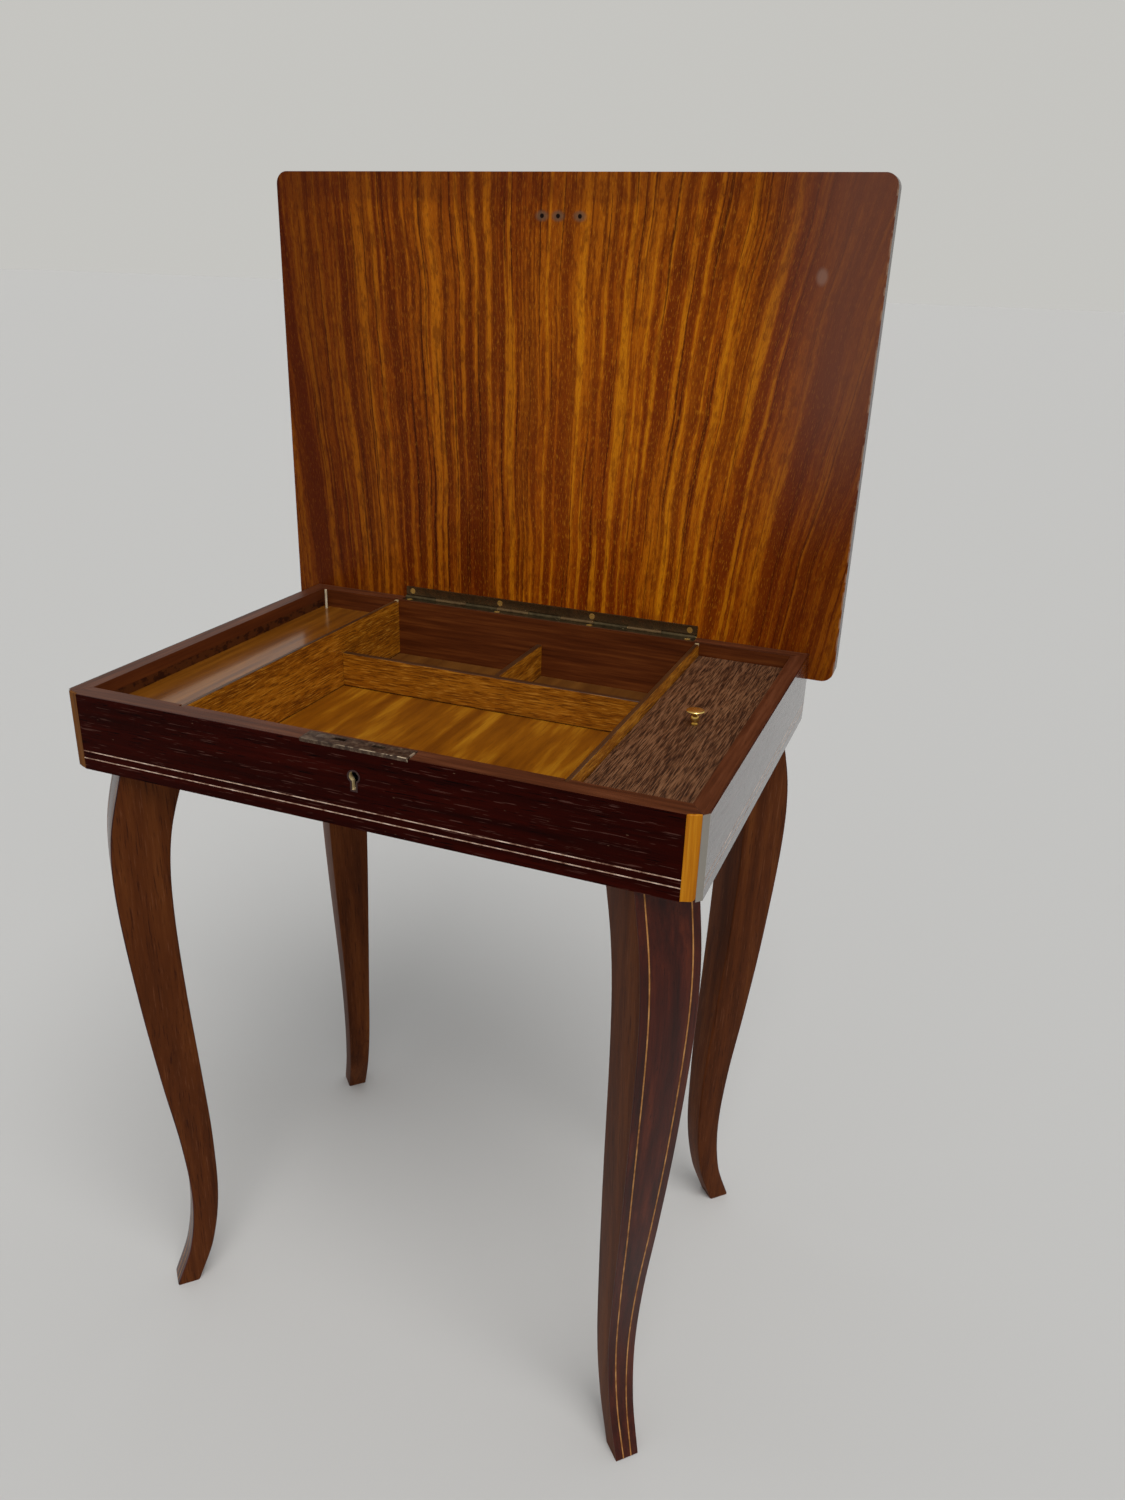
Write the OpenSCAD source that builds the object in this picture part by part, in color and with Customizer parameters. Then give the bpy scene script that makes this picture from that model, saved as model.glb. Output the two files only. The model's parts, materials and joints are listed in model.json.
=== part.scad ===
// Lift-top side table: a shallow inlaid box on four cabriole legs set on the diagonal.
// The lid is hinged at the back and stands open. Under it lie a tray over a musical movement,
// an open middle with two cells behind it, and a compartment closed by a lift-out panel.
// Millimetres, +Z up. The origin is on the floor, under the middle of the open table.

/* [Case] */
// Width of the case over its side veneers
case_w = 425; // [390:5:470]
// Depth of the case from front veneer to back rail
case_d = 300; // [280:5:340]
// Height of the case rails
case_h = 52; // [48:1:66]
// Thickness of the front rail with its veneer
front_rail_t = 15; // [14:0.5:18]
// Thickness of the side rails with their veneer
side_rail_t = 12; // [10:0.5:14]
// Thickness of the back rail
back_rail_t = 12; // [12:0.5:15]
// Thickness of the face veneer on the case
veneer_t = 0.8; // [0.6:0.1:1.2]
// Thickness of the bottom board
bottom_t = 4; // [3:0.5:6]
// Width of the corner strip along the front
strip_x = 8; // [6:0.5:10]
// How far the corner strip slants back
strip_y = 3; // [2:0.5:4]
// Thickness of the corner strip
strip_t = 2; // [1.5:0.5:3]
// Radius of the corner strip's lower outer corner
strip_r = 3; // [1:0.5:4]
// Width of the side veneer's turned-in end along the front
arris_x = 3.2; // [2:0.2:4]
// Depth of the side veneer's turned-in end along the side
arris_y = 3.5; // [2:0.5:5]

/* [Stringing] */
// Width of a stringing line on the case
line_w = 0.7; // [0.5:0.1:1.4]
// Width of a stringing line on a leg
leg_line_w = 0.9; // [0.6:0.1:1.4]
// Depth of a stringing line in the veneer
line_depth = 0.5; // [0.3:0.1:0.5]
// Height of the lower line above the case's lower edge
line_low = 8.1; // [5:0.1:12]
// Distance between the two lines
line_gap = 5; // [3:0.5:8]
// Distance from a leg's edge to its line
leg_line_inset = 5.6; // [4:0.1:6.5]

/* [Interior] */
// Thickness of the long dividers
divider_t = 3; // [2.5:0.5:4]
// Drop of the long dividers below the rim
divider_drop = 0.5; // [0:0.5:3]
// Depth of a divider's housing in the rails
housing = 3; // [2:0.5:4]
// Clear width of the left tray
tray_w = 70; // [66:1:80]
// Clear width of the panel compartment
panel_bay_w = 69.5; // [66:0.5:80]
// Depth of the tray below the rim
tray_depth = 15; // [12:1:16]
// Thickness of the tray floor
tray_floor_t = 3; // [2:0.5:4]
// Thickness of the lining on the middle floor
floor_lining_t = 1; // [0.8:0.1:2]
// Clear depth of the middle compartment, front to back
middle_d = 183; // [150:1:190]
// Thickness of the cross divider
cross_t = 5; // [4:0.5:6]
// Thickness of the small divider between the back cells
small_t = 4.5; // [3:0.5:6]
// Drop of the two low dividers below the rim
low_drop = 20; // [14:1:24]
// Depth of the lift-out panel below the rim
panel_depth = 10; // [10:0.5:13]
// Thickness of the lift-out panel
panel_t = 4.5; // [4:0.5:6]
// Gap round the lift-out panel
panel_gap = 0.5; // [0.3:0.1:1]
// Width of the ledges under the tray floor and the panel
ledge_w = 4; // [3:0.5:5]
// Height of those ledges
ledge_h = 8; // [6:0.5:8]

/* [Knob] */
// Diameter of the knob's head
knob_head_d = 12.2; // [10:0.2:14]
// Diameter of the ball under the head
knob_ball_d = 6; // [5:0.2:8]
// Height of the knob above the panel
knob_h = 11; // [9:0.5:11]
// Distance of the knob in front of the case's middle
knob_forward = 1; // [0:1:40]

/* [Lid] */
// How far the lid passes the case at its sides and back
lid_over = 19; // [14:1:24]
// How far the lid passes the front of the case
lid_over_front = 21; // [14:1:26]
// Thickness of the lid with both faces
lid_t = 14; // [12:0.5:18]
// Thickness of each lid face
lid_face_t = 0.8; // [0.6:0.1:1.2]
// Width of the lipping round the lid's core
lipping_w = 5; // [4:0.5:8]
// Radius of the lid's corners in plan
lid_corner_r = 9; // [6:1:14]

/* [Hinge] */
// Length of the strip hinge
hinge_len = 252; // [200:4:280]
// Width of each hinge leaf from the pin
leaf_w = 9; // [8:0.5:10]
// Thickness of a hinge leaf
leaf_t = 1.2; // [1:0.1:1.2]
// Number of knuckles along the hinge
knuckles = 9; // [5:2:13]
// Outer radius of a knuckle
knuckle_r = 2; // [1.8:0.1:2.2]
// Radius of the hinge pin
pin_r = 1; // [0.8:0.1:1.1]
// Radial running clearance on the hinge pin
pin_clear = 0.05; // [0.02:0.01:0.08]
// Gap between the closed lid and the rim
lid_gap = 1.4; // [1.4:0.1:1.6]

/* [Lock] */
// Distance of the lock to the right of the case's middle
lock_x = 2; // [-10:1:10]
// Length of the lock's selvedge plate
plate_len = 72; // [64:1:80]
// Depth of the selvedge plate from the front face
plate_w = 12; // [11.5:0.5:14]
// Thickness of the selvedge plate
plate_t = 2.4; // [2:0.1:2.6]
// How far the plate stands above the rim
plate_proud = 0.9; // [0:0.1:1]
// Length of the lock case
lock_len = 56; // [48:1:60]
// Height of the lock case below the plate
lock_h = 30; // [26:1:34]
// Thickness of the lock case, front to back
lock_body_t = 7.5; // [7:0.5:8]
// Wall of the lock case
lock_wall = 1; // [0.8:0.1:1.2]
// Depth of the keyhole's round part below the rim
key_drop = 17.5; // [15:0.5:20]
// Radius of the keyhole liner's round part, outside
liner_r = 4.3; // [3.8:0.1:5]
// Width of the keyhole liner's lower part, outside
liner_slot_w = 4.8; // [4:0.1:6]
// Height of the keyhole liner
liner_h = 14; // [12:0.5:16]
// Wall of the keyhole liner
liner_wall = 0.9; // [0.7:0.1:1.1]
// Travel of the lock bolt
bolt_travel = 5; // [4:0.5:6]

/* [Legs] */
// Height of the legs
leg_h = 464; // [420:4:520]
// Distance of a foot's outer face from the case's side
foot_in_x = 17; // [12:1:24]
// Distance of a foot's outer face from the case's front or back
foot_in_y = 11; // [6:1:18]
// Thickness of the veneer on a leg's outer face
leg_face_t = 0.8; // [0.6:0.1:1]
// Thickness of a leg at its foot, along the diagonal
foot_t = 17.5; // [14:0.5:22]
// Thickness of a leg at its top, along the diagonal
leg_top_t = 41.5; // [36:0.5:46]
// Width of a leg at its foot
foot_w = 17; // [15:0.5:22]
// Width of a leg at its top
leg_top_w = 41; // [34:0.5:42]
// Reach of the knee past the foot
knee_out = 5.5; // [2:0.5:8]
// Set-back of the ankle behind the foot
ankle_in = 19; // [12:0.5:24]
// Radius of a leg bolt
bolt_r = 3; // [2.5:0.5:4]
// Side of a corner block
block_side = 44; // [40:1:50]
// Height of a corner block
block_h = 18; // [12:1:18]

/* [Movement] */
// Length of the movement's bed, front to back
bed_len = 92; // [86:1:100]
// Width of the movement's bed
bed_w = 46; // [44:1:50]
// Thickness of the movement's bed
bed_t = 2.5; // [2:0.5:3]
// Radius of the pinned cylinder
cylinder_r = 7; // [6:0.5:7.5]
// Length of the pinned cylinder
cylinder_len = 46; // [40:1:48]
// Number of teeth on the comb
comb_teeth = 18; // [12:1:18]
// Radius of the stop rod
rod_r = 1; // [0.8:0.1:1.5]
// Stroke of the stop rod
rod_stroke = 3; // [2:0.5:4]

/* [Hidden] */

$fn = 48;
eps = 0.01;
play = 0.1;            // radial play of a screw or bolt in its hole
run_gap = 0.4;         // gap between pieces that pass each other
far = 400;             // longer than any cut needs to be

// heights
rim_z = leg_h + case_h;
board_top = leg_h + bottom_t;
floor_z = board_top + floor_lining_t;
tray_z = rim_z - tray_depth;
panel_z = rim_z - panel_depth;
low_z = rim_z - low_drop;

// plan of the case
half_w = case_w / 2;
half_d = case_d / 2;
in_x = half_w - side_rail_t;
in_front = -half_d + front_rail_t;
in_back = half_d - back_rail_t;
left_div_x = -in_x + tray_w;
right_div_x = in_x - panel_bay_w - divider_t;
cross_y = in_front + middle_d;
small_x = (left_div_x + divider_t + right_div_x - small_t) / 2;
strip_in_x = half_w - arris_x - strip_x;
strip_out_x = half_w - arris_x;
strip_end_y = -half_d + strip_y;
side_start_y = strip_end_y + arris_y;
arris_lap = 1;         // depth of the side veneer where it meets the strip

// hinge and lid
pin_y = half_d + run_gap - lid_gap;
pin_z = rim_z;
under_y = pin_y + lid_gap;
lid_w = case_w + 2 * lid_over;
lid_l = case_d + lid_over + lid_over_front;
lid_low = pin_z - lid_over - (half_d - pin_y);
core_t = lid_t - 2 * lid_face_t;
leaf_off = lid_gap + 0.1 - leaf_t;   // the lid leaf is let 0.1 into the lid
knuckle_pitch = hinge_len / knuckles;
knuckle_gap = 0.3;
hinge_screw_x = [for (i = [-1.5, -0.5, 0.5, 1.5]) i * (hinge_len - 12) / 3];
leaf_screw_off = leaf_w * 0.6;

// legs
leg_steps = 32;
foot_lift = 1;         // the veneer and its lines stop short of the floor
foot_x = half_w - foot_in_x;
foot_y = half_d - foot_in_y;
// outer face of a leg: [share of the height, offset along the diagonal]
leg_curve = [[0, 0], [0.08, -0.7 * ankle_in], [0.18, -ankle_in], [0.3, -0.86 * ankle_in],
    [0.45, -0.42 * ankle_in], [0.62, 0], [0.8, knee_out], [0.9, 0.6 * knee_out], [1, -0.4 * ankle_in]];
// thickness and width of a leg: [share of the height, share of the way from foot to top]
thick_curve = [[0, 0], [0.1, 0.03], [0.25, 0.18], [0.45, 0.48], [0.7, 0.71], [1, 1]];
width_curve = [[0, 0], [0.12, 0.09], [0.3, 0.24], [0.6, 0.67], [1, 1]];
stations = [for (i = [0:leg_steps]) i / leg_steps];
leg_axis = -0.4 * ankle_in - leg_top_t / 2;
corners = [[-1, -1], [1, -1], [-1, 1], [1, 1]];

// the open table's plan: the front knees and the lid's outer face are its ends
front_reach = foot_y + max([for (u = stations) leg_out(u) + leg_wide(u) / 2]) * cos(45);
back_reach = under_y + lid_t;
mid_y = (back_reach - front_reach) / 2;

// lock
plate_under = rim_z + plate_proud - plate_t;
lock_y = -half_d + front_rail_t / 2;
staple_off = 13;
staple_slot = [8, 3.2];
lock_screw_x = plate_len / 2 - 5;
key_z = rim_z - key_drop;
liner_end = lock_y - lock_body_t / 2;
key_post_r = 1.2;

// knob
knob_x = in_x - panel_bay_w / 2;
knob_neck_r = 1.6;

// movement, under the tray
bed_x = -in_x + tray_w / 2;
bed_top = board_top + bed_t;
axle_x = bed_x - 6;
axle_z = bed_top + 11.5;
cylinder_y = -30;
post_t = 2.5;
axle_r = 1.5;
comb_x = axle_x + cylinder_r + run_gap;
comb_t = 2;
comb_len = 17;
barrel_r = 11;
barrel_y = 33;
barrel_h = 15;
key_shaft_r = 2;
key_wing = [22, 3, 13];
rod_x = -in_x + ledge_w + rod_r + run_gap;
rod_y = in_back - 5;
rod_low = board_top + block_h + rod_stroke + 1;
rod_collar_r = rod_r + 1.2;
ledge_end = in_back - 12;

// curves through knots given as [position, value]
function tangent(k, i) =
    i == 0 ? (k[1][1] - k[0][1]) / (k[1][0] - k[0][0])
    : i == len(k) - 1 ? (k[i][1] - k[i - 1][1]) / (k[i][0] - k[i - 1][0])
    : (k[i + 1][1] - k[i - 1][1]) / (k[i + 1][0] - k[i - 1][0]);
function span_of(k, u, i = 0) = i >= len(k) - 2 || u < k[i + 1][0] ? i : span_of(k, u, i + 1);
function hermite(a, b, ta, tb, s) =
    a * (1 + 2 * s) * (1 - s) * (1 - s) + ta * s * (1 - s) * (1 - s)
    + b * s * s * (3 - 2 * s) - tb * s * s * (1 - s);
function along(k, u) =
    let (i = span_of(k, u), h = k[i + 1][0] - k[i][0])
    hermite(k[i][1], k[i + 1][1], tangent(k, i) * h, tangent(k, i + 1) * h, (u - k[i][0]) / h);
function leg_out(u) = along(leg_curve, u);
function leg_thick(u) = foot_t + (leg_top_t - foot_t) * along(thick_curve, u);
function leg_wide(u) = foot_w + (leg_top_w - foot_w) * along(width_curve, u);
function down(list) = [for (i = [len(list) - 1:-1:0]) list[i]];

// ---- shared shapes ----

module in_frame() {
    translate([0, -mid_y, 0]) children();
}

module bar(x0, x1, y0, y1, z0, z1) {
    translate([x0, y0, z0]) cube([x1 - x0, y1 - y0, z1 - z0]);
}

module rounded_plate(w, l, r) {
    square([w - 2 * r, l], center = true);
    square([w, l - 2 * r], center = true);
    for (c = corners) translate([c[0] * (w / 2 - r), c[1] * (l / 2 - r)]) circle(r);
}

// a countersunk wood screw: its head's top is at the origin, and it points down
module wood_screw(len, shank_r, head_r) {
    rotate_extrude() polygon([[0, 0], [head_r, 0], [shank_r, shank_r - head_r],
        [shank_r, -len + shank_r], [0, -len]]);
}

module screw_hole(len, shank_r, head_r) {
    wood_screw(len + play, shank_r + play, head_r + play);
    cylinder(h = 3, r = head_r + play);
}

// ---- case ----

// the room that a corner strip and the side veneer's turned-in end take from the rails
module corner_room() {
    for (s = [-1, 1]) translate([0, 0, leg_h - 1]) linear_extrude(case_h + 2) scale([s, 1])
        polygon([[strip_in_x, -half_d - 1], [strip_in_x, -half_d + strip_t],
            [strip_out_x, strip_end_y + strip_t], [strip_out_x, strip_end_y + arris_lap],
            [half_w - veneer_t, side_start_y], [half_w + 1, side_start_y], [half_w + 1, -half_d - 1]]);
}

module rail_prism(points) {
    translate([0, 0, leg_h]) linear_extrude(case_h) polygon(points);
}

// housings for the long dividers, cut into a rail from inside
module divider_housings(y0, y1) {
    for (x = [left_div_x, right_div_x])
        bar(x, x + divider_t, y0, y1, board_top, rim_z + 1);
}

module lock_mortise() {
    translate([lock_x, 0, 0]) {
        bar(-plate_len / 2, plate_len / 2, -half_d - 1, -half_d + plate_w, plate_under, rim_z + 1);
        bar(-lock_len / 2, lock_len / 2, lock_y - lock_body_t / 2, lock_y + lock_body_t / 2,
            plate_under - lock_h, rim_z);
        for (s = [-1, 1]) translate([s * lock_screw_x, lock_y, rim_z + plate_proud]) screw_hole(14, 1.4, 2.8);
    }
}

module keyhole_outline(grow) {
    circle(liner_r + grow);
    translate([-(liner_slot_w / 2 + grow), -(liner_h - liner_r) - grow])
        square([liner_slot_w + 2 * grow, liner_h - liner_r + grow]);
}

// the keyhole's outline, pushed back from the front face
module keyhole_prism(grow, y0, y1) {
    translate([lock_x, y1, key_z]) rotate([90, 0, 0]) linear_extrude(y1 - y0) keyhole_outline(grow);
}

module rail_front() {
    color("#6b3a25") difference() {
        rail_prism([[-half_w + veneer_t, -half_d + veneer_t], [half_w - veneer_t, -half_d + veneer_t],
            [in_x, in_front], [-in_x, in_front]]);
        corner_room();
        divider_housings(in_front - housing, in_front + 1);
        lock_mortise();
        keyhole_prism(0, -half_d - 1, lock_y);
    }
}

// the rebate for the case leaf and the notch for the knuckles
module hinge_room() {
    bar(-hinge_len / 2 - play, hinge_len / 2 + play, pin_y - leaf_w - play, half_d + 1,
        rim_z - leaf_off - leaf_t, rim_z + 1);
    bar(-hinge_len / 2 - play, hinge_len / 2 + play, pin_y - knuckle_r - run_gap, half_d + 1,
        rim_z - knuckle_r - run_gap, rim_z + 1);
}

module rail_back() {
    color("#6b3a25") difference() {
        rail_prism([[-in_x, in_back], [in_x, in_back], [half_w - veneer_t, half_d], [-half_w + veneer_t, half_d]]);
        divider_housings(in_back - 1, in_back + housing);
        hinge_room();
        for (x = hinge_screw_x) translate([x, pin_y - leaf_screw_off, rim_z - leaf_off]) screw_hole(11, 1.1, 2.3);
    }
}

module side_rail(s) {
    color("#6b3a25") difference() {
        scale([s, 1, 1]) rail_prism([[in_x, in_front], [half_w - veneer_t, -half_d + veneer_t],
            [half_w - veneer_t, half_d], [in_x, in_back]]);
        corner_room();
    }
}

module rail_left() side_rail(-1);
module rail_right() side_rail(1);

module bottom_board() {
    color("#b98a55") difference() {
        bar(-in_x, in_x, in_front, in_back, leg_h, board_top);
        for (c = corners) bolt_place(c) cylinder(h = bottom_t * 3, r = bolt_r + play, center = true);
        translate([bed_x, barrel_y, leg_h - 1]) cylinder(h = bottom_t + 2, r = key_shaft_r + 1);
    }
}

// stringing lines round the case, cut or drawn with their own depth
module case_lines(s, depth, extra) {
    for (z = [line_low, line_low + line_gap]) translate([0, 0, leg_h + z - line_w / 2]) {
        if (s == 0)
            bar(-strip_in_x, strip_in_x, -half_d - extra, -half_d + depth, 0, line_w);
        else
            scale([s, 1, 1]) bar(half_w - depth, half_w + extra, side_start_y, half_d, 0, line_w);
    }
}

module veneer_front() {
    color("#2c0f0a") difference() {
        bar(-strip_in_x, strip_in_x, -half_d, -half_d + veneer_t, leg_h, rim_z);
        case_lines(0, line_depth, 1);
        lock_mortise();
        keyhole_prism(0, -half_d - 1, lock_y);
    }
}

module side_veneer(s) {
    color("#2c0f0a") difference() {
        scale([s, 1, 1]) rail_prism([[half_w, half_d], [half_w - veneer_t, half_d],
            [half_w - veneer_t, side_start_y], [strip_out_x, strip_end_y + arris_lap],
            [strip_out_x, strip_end_y], [half_w, side_start_y]]);
        case_lines(s, line_depth, 1);
    }
}

module veneer_left() side_veneer(-1);
module veneer_right() side_veneer(1);

module stringing_front() color("#d8c69a") case_lines(0, line_depth, 0);
module stringing_left() color("#d8c69a") case_lines(-1, line_depth, 0);
module stringing_right() color("#d8c69a") case_lines(1, line_depth, 0);

// a slanted strip at a front corner, with its lower outer corner rounded
module corner_strip(s) {
    face_w = norm([strip_x, strip_y]);
    color("#c8862a") scale([s, 1, 1]) intersection() {
        rail_prism([[strip_in_x, -half_d], [strip_out_x, strip_end_y],
            [strip_out_x, strip_end_y + strip_t], [strip_in_x, -half_d + strip_t]]);
        translate([strip_in_x, -half_d, leg_h]) rotate(atan2(strip_y, strip_x)) rotate([90, 0, 0])
            linear_extrude(20, center = true) {
                translate([-face_w, strip_r]) square([face_w * 2, case_h]);
                translate([-face_w, 0]) square([face_w * 2 - strip_r, case_h]);
                translate([face_w - strip_r, strip_r]) circle(strip_r);
            }
    }
}

module corner_strip_left() corner_strip(-1);
module corner_strip_right() corner_strip(1);

// ---- interior ----

module long_divider(x) {
    color("#a8772c") difference() {
        bar(x, x + divider_t, in_front - housing, in_back + housing, board_top, rim_z - divider_drop);
        hinge_room();
    }
}

module divider_left() long_divider(left_div_x);
module divider_right() long_divider(right_div_x);

module divider_cross() {
    color("#a8702a") bar(left_div_x + divider_t, right_div_x, cross_y, cross_y + cross_t, floor_z, low_z);
}

module divider_small() {
    color("#a8702a") bar(small_x, small_x + small_t, cross_y + cross_t, in_back, floor_z, low_z - 0.5);
}

module middle_floor() {
    color("#b9832f") bar(left_div_x + divider_t, right_div_x, in_front, in_back, board_top, floor_z);
}

module tray_floor() {
    color("#a06a28") difference() {
        bar(-in_x, left_div_x, in_front, in_back, tray_z - tray_floor_t, tray_z);
        translate([rod_x, rod_y, tray_z - tray_floor_t - 1]) cylinder(h = tray_floor_t + 2, r = rod_r + 0.3);
    }
}

// two ledges along the long walls of a bay
module ledges(x0, x1, top, y_end) {
    bar(x0, x0 + ledge_w, in_front, y_end, top - ledge_h, top);
    bar(x1 - ledge_w, x1, in_front, y_end, top - ledge_h, top);
}

module tray_ledges() {
    color("#8a5c33") ledges(-in_x, left_div_x, tray_z - tray_floor_t, ledge_end);
}

module panel_ledges() {
    color("#8a5c33") ledges(right_div_x + divider_t, in_x, panel_z - panel_t, ledge_end);
}

module lift_panel() {
    color("#5d3a28") difference() {
        bar(right_div_x + divider_t + panel_gap, in_x - panel_gap, in_front + panel_gap, in_back - panel_gap,
            panel_z - panel_t, panel_z);
        translate([knob_x, -knob_forward, panel_z]) cylinder(h = 20, r = knob_neck_r + play, center = true);
    }
}

// turned knob: collar, ball, thin neck and lens-shaped head, with a tenon through the panel
module knob() {
    ball_r = knob_ball_d / 2;
    head_r = knob_head_d / 2;
    collar_h = 1.3;
    ball_z = collar_h + ball_r;
    head_z = knob_h - 3;
    waist_r = ball_r / 2;
    waist_off = ball_r * cos(30);
    color("#b08d3c") translate([knob_x, -knob_forward, panel_z]) rotate_extrude() {
        polygon([[0, 0], [ball_r * 0.77, 0], [ball_r * 0.77, collar_h - 0.5], [waist_r + 0.2, collar_h],
            [waist_r, ball_z - waist_off], [waist_r, ball_z + waist_off], [waist_r - 0.2, ball_z + waist_off + 0.3],
            [waist_r, head_z], [head_r * 0.6, head_z + 0.5], [head_r - 0.5, head_z + 1.1],
            [head_r - 0.1, head_z + 1.5], [head_r, head_z + 1.7], [head_r - 0.15, head_z + 1.95],
            [head_r * 0.8, head_z + 2.35], [head_r * 0.5, knob_h - 0.2], [head_r * 0.25, knob_h], [0, knob_h]]);
        intersection() {
            translate([0, ball_z]) circle(ball_r);
            translate([0, 0]) square([ball_r, knob_h]);
        }
        translate([0, -panel_t]) square([knob_neck_r, panel_t + eps]);
    }
}

// ---- legs ----

module leg_side_view(outer, inner) {
    rotate([90, 0, 0]) linear_extrude(leg_top_w * 2, center = true) polygon(concat(outer, down(inner)));
}

module leg_face_view(right, left) {
    rotate([90, 0, 90]) linear_extrude(far, center = true) polygon(concat(right, down(left)));
}

module leg_front_outline() {
    leg_face_view([for (u = stations) [leg_wide(u) / 2, u * leg_h]],
        [for (u = stations) [-leg_wide(u) / 2, u * leg_h]]);
}

module above_foot() translate([-far / 2, -far / 2, foot_lift]) cube([far, far, leg_h]);

// one leg in its own frame: x outward along the diagonal, from the foot's outer face
module leg_core() {
    color("#6a3320") difference() {
        intersection() {
            leg_side_view([for (u = stations) [leg_out(u) - leg_face_t, u * leg_h]],
                [for (u = stations) [leg_out(u) - leg_thick(u), u * leg_h]]);
            leg_front_outline();
        }
        translate([leg_axis, 0, leg_h - 50]) cylinder(h = 60, r = bolt_r + play);
    }
}

module leg_line(depth, extra) {
    intersection() {
        above_foot();
        leg_side_view([for (u = stations) [leg_out(u) + extra, u * leg_h]],
            [for (u = stations) [leg_out(u) - depth, u * leg_h]]);
        for (s = [-1, 1]) scale([1, s, 1])
            leg_face_view([for (u = stations) [leg_wide(u) / 2 - leg_line_inset + leg_line_w / 2, u * leg_h]],
                [for (u = stations) [leg_wide(u) / 2 - leg_line_inset - leg_line_w / 2, u * leg_h]]);
    }
}

module leg_face() {
    color("#431a12") difference() {
        intersection() {
            above_foot();
            leg_side_view([for (u = stations) [leg_out(u), u * leg_h]],
                [for (u = stations) [leg_out(u) - leg_face_t, u * leg_h]]);
            leg_front_outline();
        }
        leg_line(line_depth, 1);
    }
}

module leg_place(c) {
    translate([c[0] * foot_x, c[1] * foot_y, 0]) rotate(atan2(c[1], c[0])) children();
}

module bolt_place(c) {
    leg_place(c) translate([leg_axis, 0, leg_h]) children();
}

module leg_lines(c) color("#d8c69a") leg_place(c) leg_line(line_depth, 0);

module corner_blocks() {
    color("#a8793f") for (c = corners) difference() {
        scale([c[0], c[1], 1])
            bar(in_x - block_side, in_x, (c[1] < 0 ? -in_front : in_back) - block_side,
                c[1] < 0 ? -in_front : in_back, board_top, board_top + block_h);
        bolt_place(c) cylinder(h = case_h * 2, r = bolt_r + play, center = true);
    }
}

module leg_bolts() {
    color("#8d8f92") for (c = corners) bolt_place(c)
        translate([0, 0, -49]) cylinder(h = 49 + bottom_t + block_h + 7, r = bolt_r);
}

module leg_nuts() {
    color("#8d8f92") for (c = corners) bolt_place(c) translate([0, 0, bottom_t + block_h]) difference() {
        union() {
            cylinder(h = 1.2, r = bolt_r * 2.4);
            cylinder(h = 5.6, r = bolt_r * 1.9, $fn = 6);
        }
        translate([0, 0, -1]) cylinder(h = 8, r = bolt_r + 0.05);
    }
}

// ---- hinge ----

// knuckles of one leaf, along the pin: even ones on the case leaf, odd ones on the lid leaf
module knuckle_row(parity) {
    for (i = [0:knuckles - 1]) if (i % 2 == parity)
        translate([-hinge_len / 2 + i * knuckle_pitch + knuckle_gap / 2, 0, 0]) children();
}

module leaf_plate(parity) {
    translate([-hinge_len / 2, knuckle_r + run_gap, leaf_off])
        cube([hinge_len, leaf_w - knuckle_r - run_gap, leaf_t]);
    knuckle_row(parity) translate([0, pin_r + pin_clear, leaf_off])
        cube([knuckle_pitch - knuckle_gap, leaf_w - pin_r - pin_clear, leaf_t]);
}

// a leaf in its own frame: x along the pin, y away from it, z out of the leaf's back
module hinge_leaf(parity) {
    color("#8c7a4a") difference() {
        union() {
            leaf_plate(parity);
            knuckle_row(parity) rotate([0, 90, 0]) cylinder(h = knuckle_pitch - knuckle_gap, r = knuckle_r);
        }
        translate([-hinge_len / 2 - 1, 0, 0]) rotate([0, 90, 0]) cylinder(h = hinge_len + 2, r = pin_r + pin_clear);
        for (x = hinge_screw_x) translate([x, leaf_screw_off, leaf_off]) rotate([180, 0, 0]) screw_hole(11, 1.1, 2.3);
    }
}

module case_leaf_frame() translate([0, pin_y, pin_z]) rotate([180, 0, 0]) children();
module lid_leaf_frame() translate([0, pin_y, pin_z]) rotate([90, 0, 0]) scale([1, 1, -1]) children();

module hinge_leaf_case() case_leaf_frame() hinge_leaf(0);
module hinge_leaf_lid() lid_leaf_frame() hinge_leaf(1);

module hinge_pin() {
    color("#a08c55") translate([-hinge_len / 2, pin_y, pin_z]) rotate([0, 90, 0]) cylinder(h = hinge_len, r = pin_r);
}

module hinge_screws() {
    color("#b09a5c") for (x = hinge_screw_x) translate([x, leaf_screw_off, leaf_off]) rotate([180, 0, 0])
        wood_screw(10, 1.1, 2.3);
}

module hinge_screws_case() case_leaf_frame() hinge_screws();
module hinge_screws_lid() lid_leaf_frame() hinge_screws();

// ---- lock ----

module lock_plate() {
    color("#7d6d45") translate([lock_x, 0, 0]) difference() {
        bar(-plate_len / 2, plate_len / 2, -half_d, -half_d + plate_w, plate_under, rim_z + plate_proud);
        for (s = [-1, 1]) {
            translate([s * lock_screw_x, lock_y, rim_z + plate_proud]) screw_hole(14, 1.4, 2.8);
            translate([s * staple_off, lock_y, plate_under]) cube([staple_slot[0], staple_slot[1], 10], center = true);
        }
    }
}

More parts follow.
